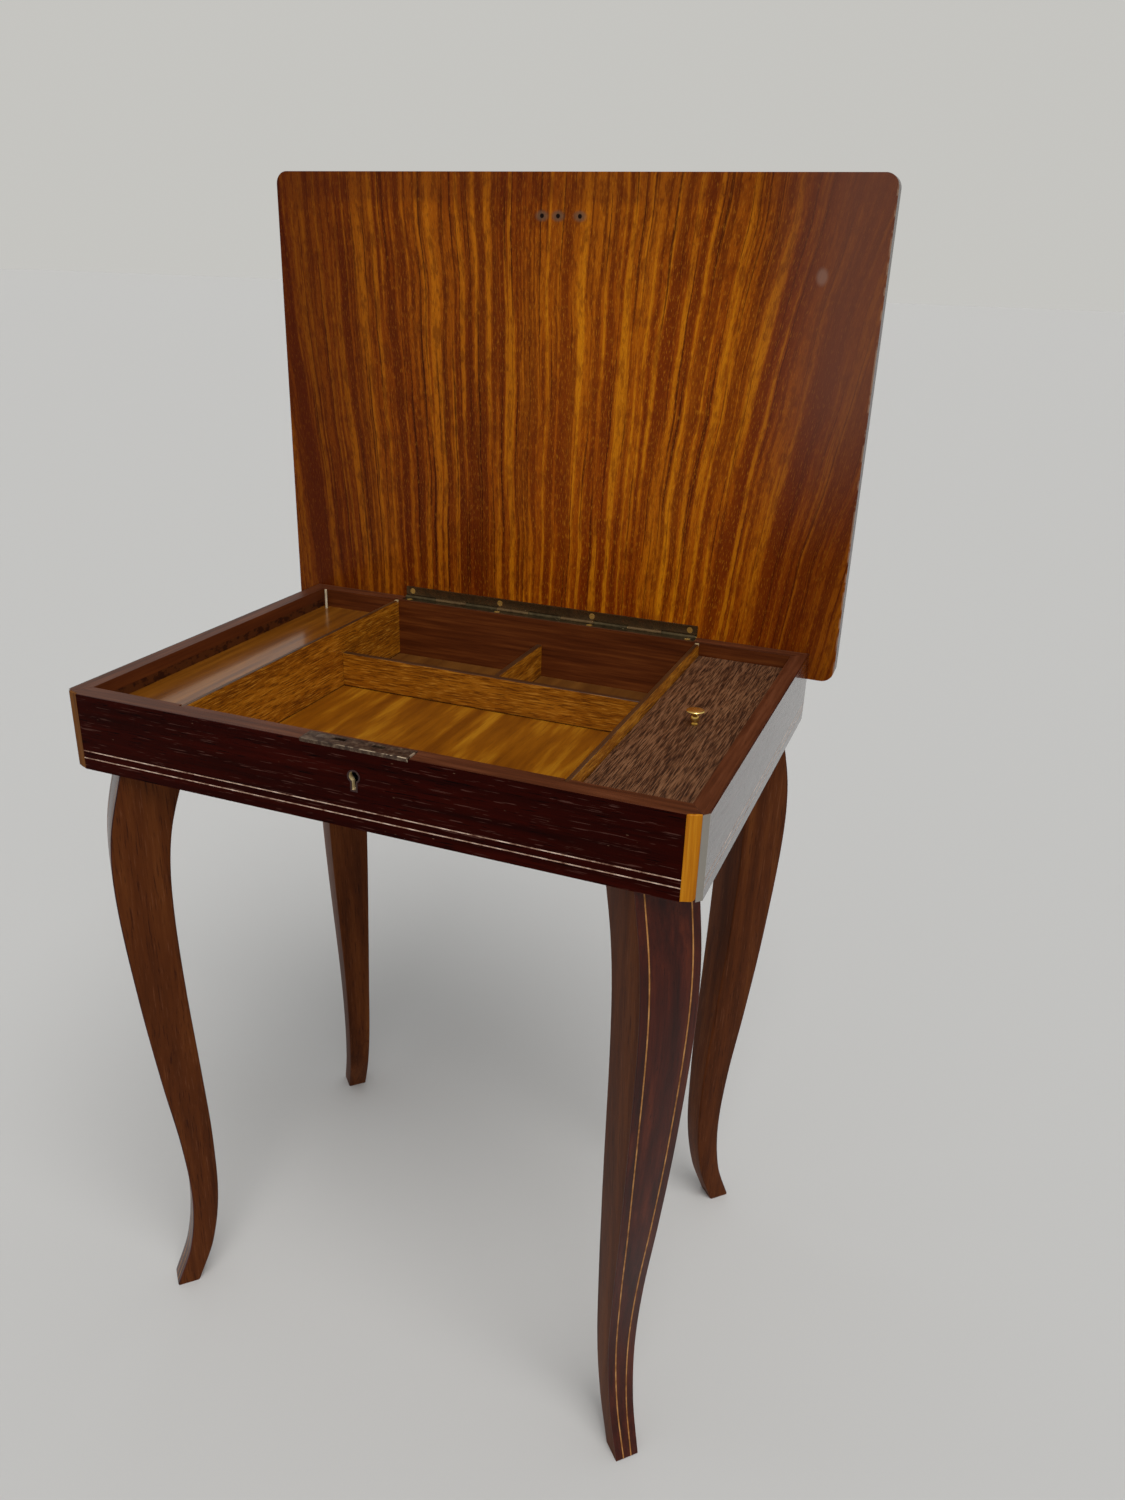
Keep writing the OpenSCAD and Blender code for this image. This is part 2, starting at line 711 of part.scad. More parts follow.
module lock_case() {
    inside = [lock_len - 2 * lock_wall, lock_body_t - 2 * lock_wall, lock_h - lock_wall];
    color("#6f6f70") translate([lock_x, lock_y, plate_under - lock_h]) difference() {
        union() {
            difference() {
                translate([-lock_len / 2, -lock_body_t / 2, 0]) cube([lock_len, lock_body_t, lock_h]);
                translate([-inside[0] / 2, -inside[1] / 2, lock_wall]) cube([inside[0], inside[1], lock_h]);
            }
            translate([0, lock_body_t / 2 - eps, key_z - plate_under + lock_h]) rotate([90, 0, 0])
                cylinder(h = lock_body_t - lock_wall, r = key_post_r);
        }
        translate([0, -lock_body_t / 2 + lock_wall + eps, key_z - plate_under + lock_h]) rotate([90, 0, 0])
            linear_extrude(lock_wall + 1) keyhole_outline(-liner_wall);
    }
}

// the bolt slides sideways under the two staple slots
module lock_bolt() {
    bolt_t = lock_body_t - 2 * lock_wall - 2 * run_gap;
    bolt_len = lock_len - 2 * lock_wall - bolt_travel - 2 * run_gap;
    hook = 5;
    top = plate_under - run_gap;
    color("#9a8348") translate([lock_x - lock_len / 2 + lock_wall + run_gap, lock_y - bolt_t / 2, top - 9])
        difference() {
            cube([bolt_len, bolt_t, 9]);
            for (s = [-1, 1])
                translate([lock_len / 2 - lock_wall - run_gap + s * staple_off - staple_slot[0] / 2, -1, 5])
                    cube([staple_slot[0], bolt_t + 2, hook]);
        }
}

module lock_screws() {
    color("#b09a5c") for (s = [-1, 1]) translate([lock_x + s * lock_screw_x, lock_y, rim_z + plate_proud])
        wood_screw(13, 1.4, 2.8);
}

module keyhole_liner() {
    color("#b8a368") difference() {
        keyhole_prism(0, -half_d - 0.4, liner_end);
        keyhole_prism(-liner_wall, -half_d - 2, liner_end + 1);
    }
}

// ---- musical movement, under the tray ----

module movement_bed() {
    color("#b59a52") difference() {
        union() {
            translate([bed_x - bed_w / 2, -bed_len / 2, board_top]) cube([bed_w, bed_len, bed_t]);
            for (y = [cylinder_y - post_t - run_gap, cylinder_y + cylinder_len + run_gap])
                translate([axle_x - 4, y, bed_top - eps]) cube([8, post_t, axle_z - bed_top + 4]);
            translate([comb_x + 5, cylinder_y + 2, bed_top - eps])
                cube([comb_len - 5, cylinder_len - 4, axle_z - comb_t / 2 - bed_top + eps]);
        }
        translate([axle_x, cylinder_y - 10, axle_z]) rotate([-90, 0, 0]) cylinder(h = 80, r = axle_r + pin_clear);
        translate([bed_x, barrel_y, board_top - 1]) cylinder(h = bed_t + 2, r = key_shaft_r + pin_clear);
    }
}

module movement_comb() {
    pitch = (cylinder_len - 8) / comb_teeth;
    color("#8a8c90") translate([comb_x, cylinder_y + 4, axle_z - comb_t / 2]) difference() {
        translate([0, -2, 0]) cube([comb_len, cylinder_len - 4, comb_t]);
        for (i = [1:comb_teeth - 1]) translate([-1, i * pitch - 0.35, -1]) cube([comb_len * 0.65, 0.7, comb_t + 2]);
    }
}

module movement_cylinder() {
    color("#c0a45c") translate([axle_x, cylinder_y, axle_z]) rotate([-90, 0, 0]) union() {
        cylinder(h = cylinder_len, r = cylinder_r);
        translate([0, 0, -post_t - run_gap]) cylinder(h = cylinder_len + 2 * (post_t + run_gap), r = axle_r);
    }
}

// drum of the mainspring, open below for the winding shaft
module movement_barrel() {
    color("#c0a45c") translate([bed_x, barrel_y, bed_top]) difference() {
        cylinder(h = barrel_h, r = barrel_r);
        translate([0, 0, -1]) cylinder(h = barrel_h - 1, r = key_shaft_r + pin_clear);
    }
}

module movement_governor() {
    color("#b59a52") translate([bed_x - bed_w / 2, bed_len / 2 - 14, bed_top]) cube([8, 14, 13]);
}

module winding_key() {
    top = bed_top + barrel_h - 4;
    color("#b59a52") translate([bed_x, barrel_y, 0]) {
        translate([0, 0, leg_h - 6]) cylinder(h = top - leg_h + 6, r = key_shaft_r);
        translate([-key_wing[0] / 2, -key_wing[1] / 2, leg_h - 6 - key_wing[2]]) cube(key_wing);
        translate([0, 0, leg_h - 9]) cylinder(h = 5, r = key_shaft_r + 1.5);
    }
}

// a wire that stands up in the tray and runs forward below it to the governor;
// its top is just under the closed lid, and its collar stops it under the tray floor
module stop_rod() {
    color("#d8d2c0") {
        translate([rod_x, rod_y, rod_low]) cylinder(h = rim_z + lid_gap - run_gap - rod_low, r = rod_r);
        translate([rod_x, rod_y, tray_z - tray_floor_t - 0.1 - 2]) cylinder(h = 2, r = rod_collar_r);
        bar(rod_x - rod_r, rod_x + rod_r, bed_len / 2 - 8, rod_y, rod_low, rod_low + 2 * rod_r);
        bar(rod_x - rod_r, bed_x - bed_w / 2 + 6, bed_len / 2 - 8, bed_len / 2 - 8 + 2 * rod_r,
            rod_low, rod_low + 2 * rod_r);
    }
}

// ---- lid, standing open ----

module lid_layer(y0, t, w, l, r) {
    translate([0, y0 + t, lid_low + lid_l / 2]) rotate([90, 0, 0]) linear_extrude(t) rounded_plate(w, l, r);
}

// room for the hinge leaf and its knuckles in the lid's underside
module lid_hinge_cut() {
    cut_x = hinge_len / 2 + play;
    bar(-cut_x, cut_x, under_y - 1, pin_y + leaf_off + leaf_t, pin_z - knuckle_r - run_gap, pin_z + leaf_w + play);
    bar(-cut_x, cut_x, under_y - 1, pin_y + knuckle_r + run_gap, pin_z - knuckle_r - run_gap,
        pin_z + knuckle_r + run_gap);
    lid_leaf_frame() for (x = hinge_screw_x) translate([x, leaf_screw_off, leaf_off]) rotate([180, 0, 0])
        screw_hole(11, 1.1, 2.3);
}

module lid_core() {
    color("#8a5a34") difference() {
        lid_layer(under_y + lid_face_t, core_t, lid_w - 2 * lipping_w, lid_l - 2 * lipping_w,
            lid_corner_r - lipping_w);
        lid_hinge_cut();
    }
}

module lid_lining() {
    color("#8a4a1e") difference() {
        lid_layer(under_y, lid_face_t, lid_w, lid_l, lid_corner_r);
        lid_hinge_cut();
    }
}

module lid_veneer() {
    color("#4a1d12") lid_layer(under_y + lid_t - lid_face_t, lid_face_t, lid_w, lid_l, lid_corner_r);
}

module lid_lipping() {
    color("#5a2a18") difference() {
        lid_layer(under_y + lid_face_t, core_t, lid_w, lid_l, lid_corner_r);
        lid_layer(under_y - 1, lid_t + 2, lid_w - 2 * lipping_w, lid_l - 2 * lipping_w, lid_corner_r - lipping_w);
    }
}

in_frame() rail_front();
in_frame() rail_back();
in_frame() rail_left();
in_frame() rail_right();
in_frame() bottom_board();
in_frame() veneer_front();
in_frame() veneer_left();
in_frame() veneer_right();
in_frame() corner_strip_left();
in_frame() corner_strip_right();
in_frame() stringing_front();
in_frame() stringing_left();
in_frame() stringing_right();
in_frame() divider_left();
in_frame() divider_right();
in_frame() divider_cross();
in_frame() divider_small();
in_frame() tray_floor();
in_frame() tray_ledges();
in_frame() middle_floor();
in_frame() panel_ledges();
in_frame() leg_place([-1, -1]) leg_core();  // leg_front_left
in_frame() leg_place([1, -1]) leg_core();  // leg_front_right
in_frame() leg_place([-1, 1]) leg_core();  // leg_back_left
in_frame() leg_place([1, 1]) leg_core();  // leg_back_right
in_frame() leg_place([-1, -1]) leg_face();  // leg_face_front_left
in_frame() leg_place([1, -1]) leg_face();  // leg_face_front_right
in_frame() leg_place([-1, 1]) leg_face();  // leg_face_back_left
in_frame() leg_place([1, 1]) leg_face();  // leg_face_back_right
in_frame() leg_lines([-1, -1]);  // leg_lines_front_left
in_frame() leg_lines([1, -1]);  // leg_lines_front_right
in_frame() leg_lines([-1, 1]);  // leg_lines_back_left
in_frame() leg_lines([1, 1]);  // leg_lines_back_right
in_frame() corner_blocks();
in_frame() leg_bolts();
in_frame() leg_nuts();
in_frame() hinge_leaf_case();
in_frame() hinge_pin();
in_frame() hinge_screws_case();
in_frame() lock_case();
in_frame() lock_plate();
in_frame() lock_screws();
in_frame() keyhole_liner();
in_frame() lock_bolt();
in_frame() movement_bed();
in_frame() movement_comb();
in_frame() movement_cylinder();
in_frame() movement_barrel();
in_frame() movement_governor();
in_frame() winding_key();
in_frame() stop_rod();
in_frame() lid_core();
in_frame() lid_lining();
in_frame() lid_veneer();
in_frame() lid_lipping();
in_frame() hinge_leaf_lid();
in_frame() hinge_screws_lid();
in_frame() lift_panel();
in_frame() knob();
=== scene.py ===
"""Looks of the lift-top side table: smooth cabriole legs, softened edges, woods, brass, room and camera."""

import json
import math

import bmesh
import bpy
from mathutils import Matrix, Vector


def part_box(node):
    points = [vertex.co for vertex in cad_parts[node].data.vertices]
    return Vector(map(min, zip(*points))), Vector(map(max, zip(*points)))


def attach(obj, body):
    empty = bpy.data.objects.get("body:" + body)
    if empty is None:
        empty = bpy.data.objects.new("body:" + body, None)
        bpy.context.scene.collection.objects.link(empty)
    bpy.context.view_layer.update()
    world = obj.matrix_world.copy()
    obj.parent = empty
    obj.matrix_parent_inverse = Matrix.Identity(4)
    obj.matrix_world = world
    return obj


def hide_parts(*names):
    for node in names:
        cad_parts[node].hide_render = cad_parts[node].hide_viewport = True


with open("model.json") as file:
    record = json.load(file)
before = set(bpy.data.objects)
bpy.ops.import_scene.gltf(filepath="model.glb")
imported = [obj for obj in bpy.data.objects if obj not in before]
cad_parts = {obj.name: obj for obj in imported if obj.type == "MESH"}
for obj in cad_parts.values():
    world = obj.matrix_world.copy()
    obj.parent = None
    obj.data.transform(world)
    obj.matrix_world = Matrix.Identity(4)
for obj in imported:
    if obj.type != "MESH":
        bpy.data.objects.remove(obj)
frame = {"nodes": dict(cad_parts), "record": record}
NODES = frame["nodes"]
BODIES = frame["record"]["behaviour"]["bodies"]
BODY_OF = {node: body for body, nodes in BODIES.items() for node in nodes}
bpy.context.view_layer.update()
MM = 0.001


# ---- measures from the frame, in metres ----

LEG_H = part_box("leg_front_left")[1].z
RIM_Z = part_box("rail_front")[1].z
FRONT_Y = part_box("veneer_front")[0].y
BACK_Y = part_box("rail_back")[1].y
HALF_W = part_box("veneer_right")[1].x
CASE_MID_Y = (FRONT_Y + BACK_Y) / 2
PANEL_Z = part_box("lift_panel")[1].z
LID_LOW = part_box("lid_lining")[0]
LID_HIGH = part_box("lid_lining")[1]
UNDER_Y = LID_LOW.y
DIVIDER_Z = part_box("divider_left")[1].z
SIDE_START_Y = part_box("stringing_right")[0].y
PLATE_FRONT_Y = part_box("lock_plate")[0].y
PLATE_END_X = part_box("lock_plate")[1].x
HINGE_FRONT_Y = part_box("hinge_leaf_case")[0].y
FLOOR_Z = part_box("middle_floor")[1].z
DIVIDER_BACK_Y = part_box("rail_back")[0].y
CROSS_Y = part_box("divider_cross")[1].y
FOOT_X = HALF_W - 17 * MM
FOOT_Y = (BACK_Y - FRONT_Y) / 2 - 11 * MM

# marks on the lid lining: three old screw holes near the top, and one scuff at the right
HOLE_XS = (-11.2 * MM, 1.0 * MM, 17.5 * MM)
HOLE_Z = LID_HIGH.z - 28 * MM
HOLE_R = 1.8 * MM
HOLE_STAIN_R = 6.5 * MM
SCUFF_AT = (190 * MM, UNDER_Y, 0.774)
SCUFF_R = 5 * MM

# angles above which an edge stays sharp, in degrees
SHARP_FRAME = 35
SHARP_LEG = 40
SHARP_KNOB = 50
BEVEL_FROM = 40


# ---- shader building ----


class Finish:
    """A material under construction, with short names for the shader nodes that woods and metals share."""

    def __init__(self, name, roughness=0.4, coat=0.0, coat_roughness=0.05, specular=0.5, metallic=0.0):
        self.material = bpy.data.materials.new(name)
        self.material.use_nodes = True
        self.tree = self.material.node_tree
        self.shader = self.tree.nodes["Principled BSDF"]
        self.shader.inputs["Roughness"].default_value = roughness
        self.shader.inputs["Coat Weight"].default_value = coat
        self.shader.inputs["Coat Roughness"].default_value = coat_roughness
        self.shader.inputs["Specular IOR Level"].default_value = specular
        self.shader.inputs["Metallic"].default_value = metallic
        self.coordinate = self.tree.nodes.new("ShaderNodeTexCoord").outputs["Object"]
        self.axes = self.node("ShaderNodeSeparateXYZ", {0: self.coordinate}).outputs

    def node(self, kind, inputs=None, **settings):
        made = self.tree.nodes.new(kind)
        for key, value in settings.items():
            setattr(made, key, value)
        for key, value in (inputs or {}).items():
            self.put(made.inputs[key], value)
        return made

    def put(self, socket, value):
        if isinstance(value, bpy.types.NodeSocket):
            self.tree.links.new(value, socket)
        else:
            socket.default_value = value

    def math(self, operation, a, b=0.0):
        return self.node("ShaderNodeMath", {0: a, 1: b}, operation=operation).outputs[0]

    def stretched(self, scale, offset=(0, 0, 0), source=None):
        inputs = {0: source or self.coordinate, 1: offset, 3: scale}
        return self.node("ShaderNodeMapping", inputs).outputs[0]

    def noise(self, scale, detail=3.0, rough=0.5, distortion=0.0, offset=(0, 0, 0), source=None):
        inputs = {0: self.stretched(scale, offset, source), "Scale": 1.0, "Detail": detail}
        inputs.update({"Roughness": rough, "Distortion": distortion})
        return self.node("ShaderNodeTexNoise", inputs).outputs[0]

    def cells(self, scale):
        inputs = {0: self.stretched(scale), "Scale": 1.0}
        return self.node("ShaderNodeTexVoronoi", inputs, feature="F1").outputs["Distance"]

    def range(self, value, low, high, to_low=0.0, to_high=1.0):
        inputs = {0: value, 1: low, 2: high, 3: to_low, 4: to_high}
        return self.node("ShaderNodeMapRange", inputs, interpolation_type="SMOOTHSTEP").outputs[0]

    def ramp(self, value, *stops):
        made = self.node("ShaderNodeValToRGB", {0: value})
        points = made.color_ramp.elements
        while len(points) < len(stops):
            points.new(0.5)
        for point, (place, color) in zip(points, stops):
            point.position = place
            point.color = (*color, 1)
        return made.outputs[0]

    def mix(self, share, a, b, blend="MIX"):
        made = self.node("ShaderNodeMix", data_type="RGBA", blend_type=blend)
        for key, value in ((0, share), (6, a), (7, b)):
            color = isinstance(value, tuple) and len(value) == 3
            self.put(made.inputs[key], (*value, 1) if color else value)
        return made.outputs[2]

    def near(self, point, radius, soft=0.35, squash=(1, 1, 1)):
        """1 inside a round spot, 0 outside."""
        inputs = {0: self.coordinate, 1: tuple(-v for v in point)}
        moved = self.node("ShaderNodeVectorMath", inputs, operation="ADD").outputs[0]
        shaped = self.node("ShaderNodeVectorMath", {0: moved, 1: squash}, operation="MULTIPLY").outputs[0]
        far = self.node("ShaderNodeVectorMath", {0: shaped}, operation="LENGTH").outputs["Value"]
        return self.range(far, radius * (1 - soft), radius, 1.0, 0.0)

    def inside(self, axis, low, high, soft=0.2 * MM):
        """1 between two values of an object coordinate."""
        value = self.axes[axis]
        above = self.range(value, low - soft, low + soft)
        below = self.range(value, high - soft, high + soft, 1.0, 0.0)
        return self.math("MULTIPLY", above, below)

    def bump(self, height, depth):
        made = self.node("ShaderNodeBump", {"Height": height, "Distance": depth, "Strength": 1.0})
        self.put(self.shader.inputs["Normal"], made.outputs[0])

    def done(self, color, roughness=None):
        self.put(self.shader.inputs["Base Color"], (*color, 1) if isinstance(color, tuple) else color)
        if roughness is not None:
            self.put(self.shader.inputs["Roughness"], roughness)
        return self.material


def srgb(r, g, b):
    """A colour given as 0 to 255 per channel, as the linear values the shaders take."""
    return tuple((c / 255 / 12.92) if c <= 10 else ((c / 255 + 0.055) / 1.055) ** 2.4 for c in (r, g, b))


def grain(axis, along, across):
    """Noise scale for grain that runs along one axis."""
    return tuple(along if i == axis else across for i in range(3))


# ---- woods ----


def rosewood(name, axis, coat, specular):
    """Near-black veneer with fine open grain and small pale scratches; how much it shines differs by face."""
    w = Finish(name, roughness=0.3, coat=coat, coat_roughness=0.05, specular=specular)
    figure = w.noise(grain(axis, 9, 200), detail=4, rough=0.6)
    fine = w.noise(grain(axis, 40, 1500), detail=3, rough=0.7)
    color = w.ramp(figure, (0.3, srgb(30, 4, 2)), (0.55, srgb(44, 6, 2)), (0.78, srgb(56, 10, 4)))
    color = w.mix(w.range(fine, 0.66, 0.76, 0.0, 0.3), color, srgb(84, 44, 32))
    color = w.mix(w.range(fine, 0.4, 0.28, 0.0, 0.8), color, srgb(12, 3, 2))
    cracks = w.noise(grain(axis, 50, 1100), detail=2, rough=0.5, distortion=0.3, offset=(3, 5, 7))
    color = w.mix(w.range(cracks, 0.64, 0.7, 0.0, 0.6), color, srgb(92, 60, 52))
    color = w.mix(w.range(cracks, 0.36, 0.31, 0.0, 0.9), color, srgb(8, 2, 2))
    nicks = w.cells(grain(axis, 90, 230))
    specks = w.math("MULTIPLY", w.range(nicks, 0.09, 0.05), w.range(w.noise((60, 60, 60)), 0.52, 0.6))
    color = w.mix(w.math("MULTIPLY", specks, 0.5), color, srgb(120, 90, 70))
    if axis == 1:  # the side veneers carry a painted highlight along their front arris
        painted_sheen = w.inside(1, SIDE_START_Y - 4.0 * MM, SIDE_START_Y + 0.5 * MM, 0.4 * MM)
        color = w.mix(w.math("MULTIPLY", painted_sheen, 0.75), color, srgb(148, 142, 130))
    w.bump(w.math("ADD", fine, w.math("MULTIPLY", figure, 0.4)), 0.00005)
    return w.done(color, w.range(fine, 0.3, 0.7, 0.42, 0.28))


def leg_veneer():
    """Dark red veneer of the legs' outer faces, under a thin gloss."""
    w = Finish("leg_rosewood", roughness=0.3, coat=0.22, coat_roughness=0.08, specular=0.1)
    figure = w.noise((170, 170, 8), detail=4, rough=0.6)
    fine = w.noise((1500, 1500, 50), detail=3, rough=0.6)
    color = w.ramp(figure, (0.3, srgb(42, 12, 5)), (0.52, srgb(64, 21, 9)), (0.75, srgb(90, 36, 15)))
    color = w.mix(w.range(fine, 0.42, 0.3, 0.0, 0.6), color, srgb(20, 6, 4))
    w.bump(fine, 0.00005)
    return w.done(color)


def mahogany():
    """Plain red-brown wood of the legs' sides."""
    w = Finish("leg_mahogany", roughness=0.45, coat=0.0, specular=0.06)
    figure = w.noise((90, 90, 5), detail=4, rough=0.55)
    pores = w.noise((900, 900, 45), detail=3, rough=0.65)
    color = w.ramp(figure, (0.3, srgb(62, 28, 8)), (0.5, srgb(83, 40, 13)), (0.75, srgb(106, 57, 22)))
    color = w.mix(w.range(pores, 0.44, 0.33, 0.0, 0.6), color, srgb(34, 13, 7))
    color = w.mix(w.range(pores, 0.58, 0.7, 0.0, 0.35), color, srgb(120, 74, 48))
    w.bump(pores, 0.00008)
    return w.done(color)


def rim(name, axis, inner):
    """Rail wood: a worn brown rim, and the darker face below it, inside the case and behind."""
    w = Finish(name, roughness=0.42, coat=0.05, coat_roughness=0.15, specular=0.1)
    figure = w.noise(grain(axis, 14, 300), detail=4, rough=0.6)
    fine = w.noise(grain(axis, 60, 1500), detail=3, rough=0.6)
    top = w.ramp(figure, (0.28, srgb(62, 30, 15)), (0.5, srgb(84, 43, 23)), (0.74, srgb(108, 62, 38)))
    top = w.mix(w.range(fine, 0.42, 0.3, 0.0, 0.5), top, srgb(42, 20, 12))
    wall = w.ramp(figure, (0.28, srgb(68, 28, 8)), (0.5, srgb(92, 43, 15)), (0.74, srgb(118, 62, 24)))
    wall = inner(w, wall)
    below = w.range(w.axes[2], RIM_Z - 0.5 * MM, RIM_Z - 0.2 * MM, 1.0, 0.0)
    w.bump(fine, 0.00006)
    return w.done(w.mix(below, top, wall))


def plain_wall(w, wall):
    """The inside face as it comes."""
    return wall


def tray_wall(w, wall):
    """The side wall over the tray: reddish above, mottled dark brown below."""
    spots = w.range(w.noise((150, 90, 150), detail=3, rough=0.7), 0.47, 0.58)
    low = w.mix(spots, srgb(84, 44, 20), srgb(52, 24, 13))
    high = w.mix(0.5, wall, srgb(92, 46, 24))
    return w.mix(w.range(w.axes[2], RIM_Z - 9 * MM, RIM_Z - 8 * MM), low, high)


def satinwood(name, dark, plain, light, coat, specular):
    """Wood of the corner strips, with fine straight grain up the strip."""
    w = Finish(name, roughness=0.35, coat=coat, coat_roughness=0.1, specular=specular)
    figure = w.noise((500, 500, 14), detail=3, rough=0.6)
    return w.done(w.ramp(figure, (0.3, dark), (0.5, plain), (0.72, light)))


def maple_line(name, dirty, plain, clean):
    """Pale inlaid line, dirty in places and bright where it is clean."""
    w = Finish(name, roughness=0.45, coat=0.03, specular=0.1)
    figure = w.noise((110, 110, 110), detail=4, rough=0.65)
    return w.done(w.ramp(figure, (0.34, dirty), (0.46, plain), (0.64, clean)))


def oak(name, axis, top_z):
    """Golden wood of the dividers with fine short dashes, a dark worn top and pale chips at the back ends."""
    w = Finish(name, roughness=0.42, coat=0.12, coat_roughness=0.15, specular=0.2)
    figure = w.noise(grain(axis, 16, 160), detail=3, rough=0.55)
    pores = w.noise(grain(axis, 75, 1050), detail=3, rough=0.6)
    color = w.ramp(figure, (0.28, srgb(130, 72, 9)), (0.5, srgb(162, 96, 12)), (0.75, srgb(194, 124, 26)))
    color = w.mix(w.range(pores, 0.48, 0.4, 0.0, 0.7), color, srgb(86, 42, 6))
    color = w.mix(w.range(pores, 0.55, 0.64, 0.0, 0.6), color, srgb(216, 150, 50))
    top = w.ramp(figure, (0.3, srgb(54, 30, 13)), (0.7, srgb(84, 52, 26)))
    color = w.mix(w.range(w.axes[2], top_z - 0.5 * MM, top_z - 0.1 * MM), color, top)
    # painted contact shadow: darker along the foot of the divider where it meets the floor
    contact_shade = w.range(w.axes[2], FLOOR_Z + 0.4 * MM, FLOOR_Z + 1.6 * MM, 0.85, 0.0)
    color = w.mix(contact_shade, color, srgb(48, 20, 5))
    high = w.range(w.axes[2], DIVIDER_Z - 2 * MM, DIVIDER_Z - 1 * MM)
    chip = w.math("MULTIPLY", high, w.inside(1, DIVIDER_BACK_Y - 3 * MM, DIVIDER_BACK_Y))
    color = w.mix(w.math("MULTIPLY", chip, 0.8), color, srgb(196, 176, 132))
    w.bump(pores, 0.0001)
    return w.done(color)


def tray_varnish():
    """Thick glossy varnish over yellow-brown wood."""
    w = Finish("tray_varnish", roughness=0.3, coat=0.55, coat_roughness=0.14, specular=0.12)
    figure = w.noise((160, 7, 160), detail=4, rough=0.6)
    fine = w.noise((1200, 40, 1200), detail=3)
    color = w.ramp(figure, (0.3, srgb(92, 50, 9)), (0.5, srgb(120, 70, 14)), (0.75, srgb(146, 92, 26)))
    color = w.mix(w.range(fine, 0.42, 0.3, 0.0, 0.4), color, srgb(64, 34, 10))
    return w.done(color)


def golden_floor():
    """Golden floor with soft streaks from front to back, browner in the cells behind the cross divider."""
    w = Finish("golden_floor", roughness=0.4, coat=0.12, coat_roughness=0.1, specular=0.15)
    figure = w.noise((70, 7, 70), detail=4, rough=0.6)
    fine = w.noise((1100, 40, 1100), detail=3)
    color = w.ramp(figure, (0.34, srgb(112, 60, 3)), (0.5, srgb(138, 80, 6)), (0.64, srgb(172, 114, 20)))
    color = w.mix(w.range(fine, 0.43, 0.32, 0.0, 0.4), color, srgb(88, 46, 5))
    back = w.ramp(figure, (0.3, srgb(82, 45, 12)), (0.7, srgb(116, 72, 25)))
    return w.done(w.mix(w.range(w.axes[1], CROSS_Y - MM, CROSS_Y + MM), color, back))


def pine():
    """Pale plain wood of the bottom board, the ledges, the corner blocks and the lid's core."""
    w = Finish("pine", roughness=0.55, specular=0.3)
    figure = w.noise((12, 200, 200), detail=4)
    return w.done(w.ramp(figure, (0.3, srgb(120, 82, 46)), (0.7, srgb(164, 124, 78))))


def wenge():
    """Coarse open-grained panel, grain from front to back."""
    w = Finish("wenge", roughness=0.5, coat=0.05, coat_roughness=0.2, specular=0.2)
    figure = w.noise((120, 10, 120), detail=3, rough=0.5)
    pores = w.noise((2100, 75, 2100), detail=2, rough=0.5)
    color = w.ramp(figure, (0.28, srgb(78, 46, 26)), (0.5, srgb(96, 60, 36)), (0.75, srgb(116, 78, 50)))
    color = w.mix(w.range(pores, 0.51, 0.42, 0.0, 0.92), color, srgb(34, 17, 8))
    color = w.mix(w.range(pores, 0.53, 0.62, 0.0, 0.6), color, srgb(140, 100, 70))
    w.bump(pores, 0.0002)
    return w.done(color)


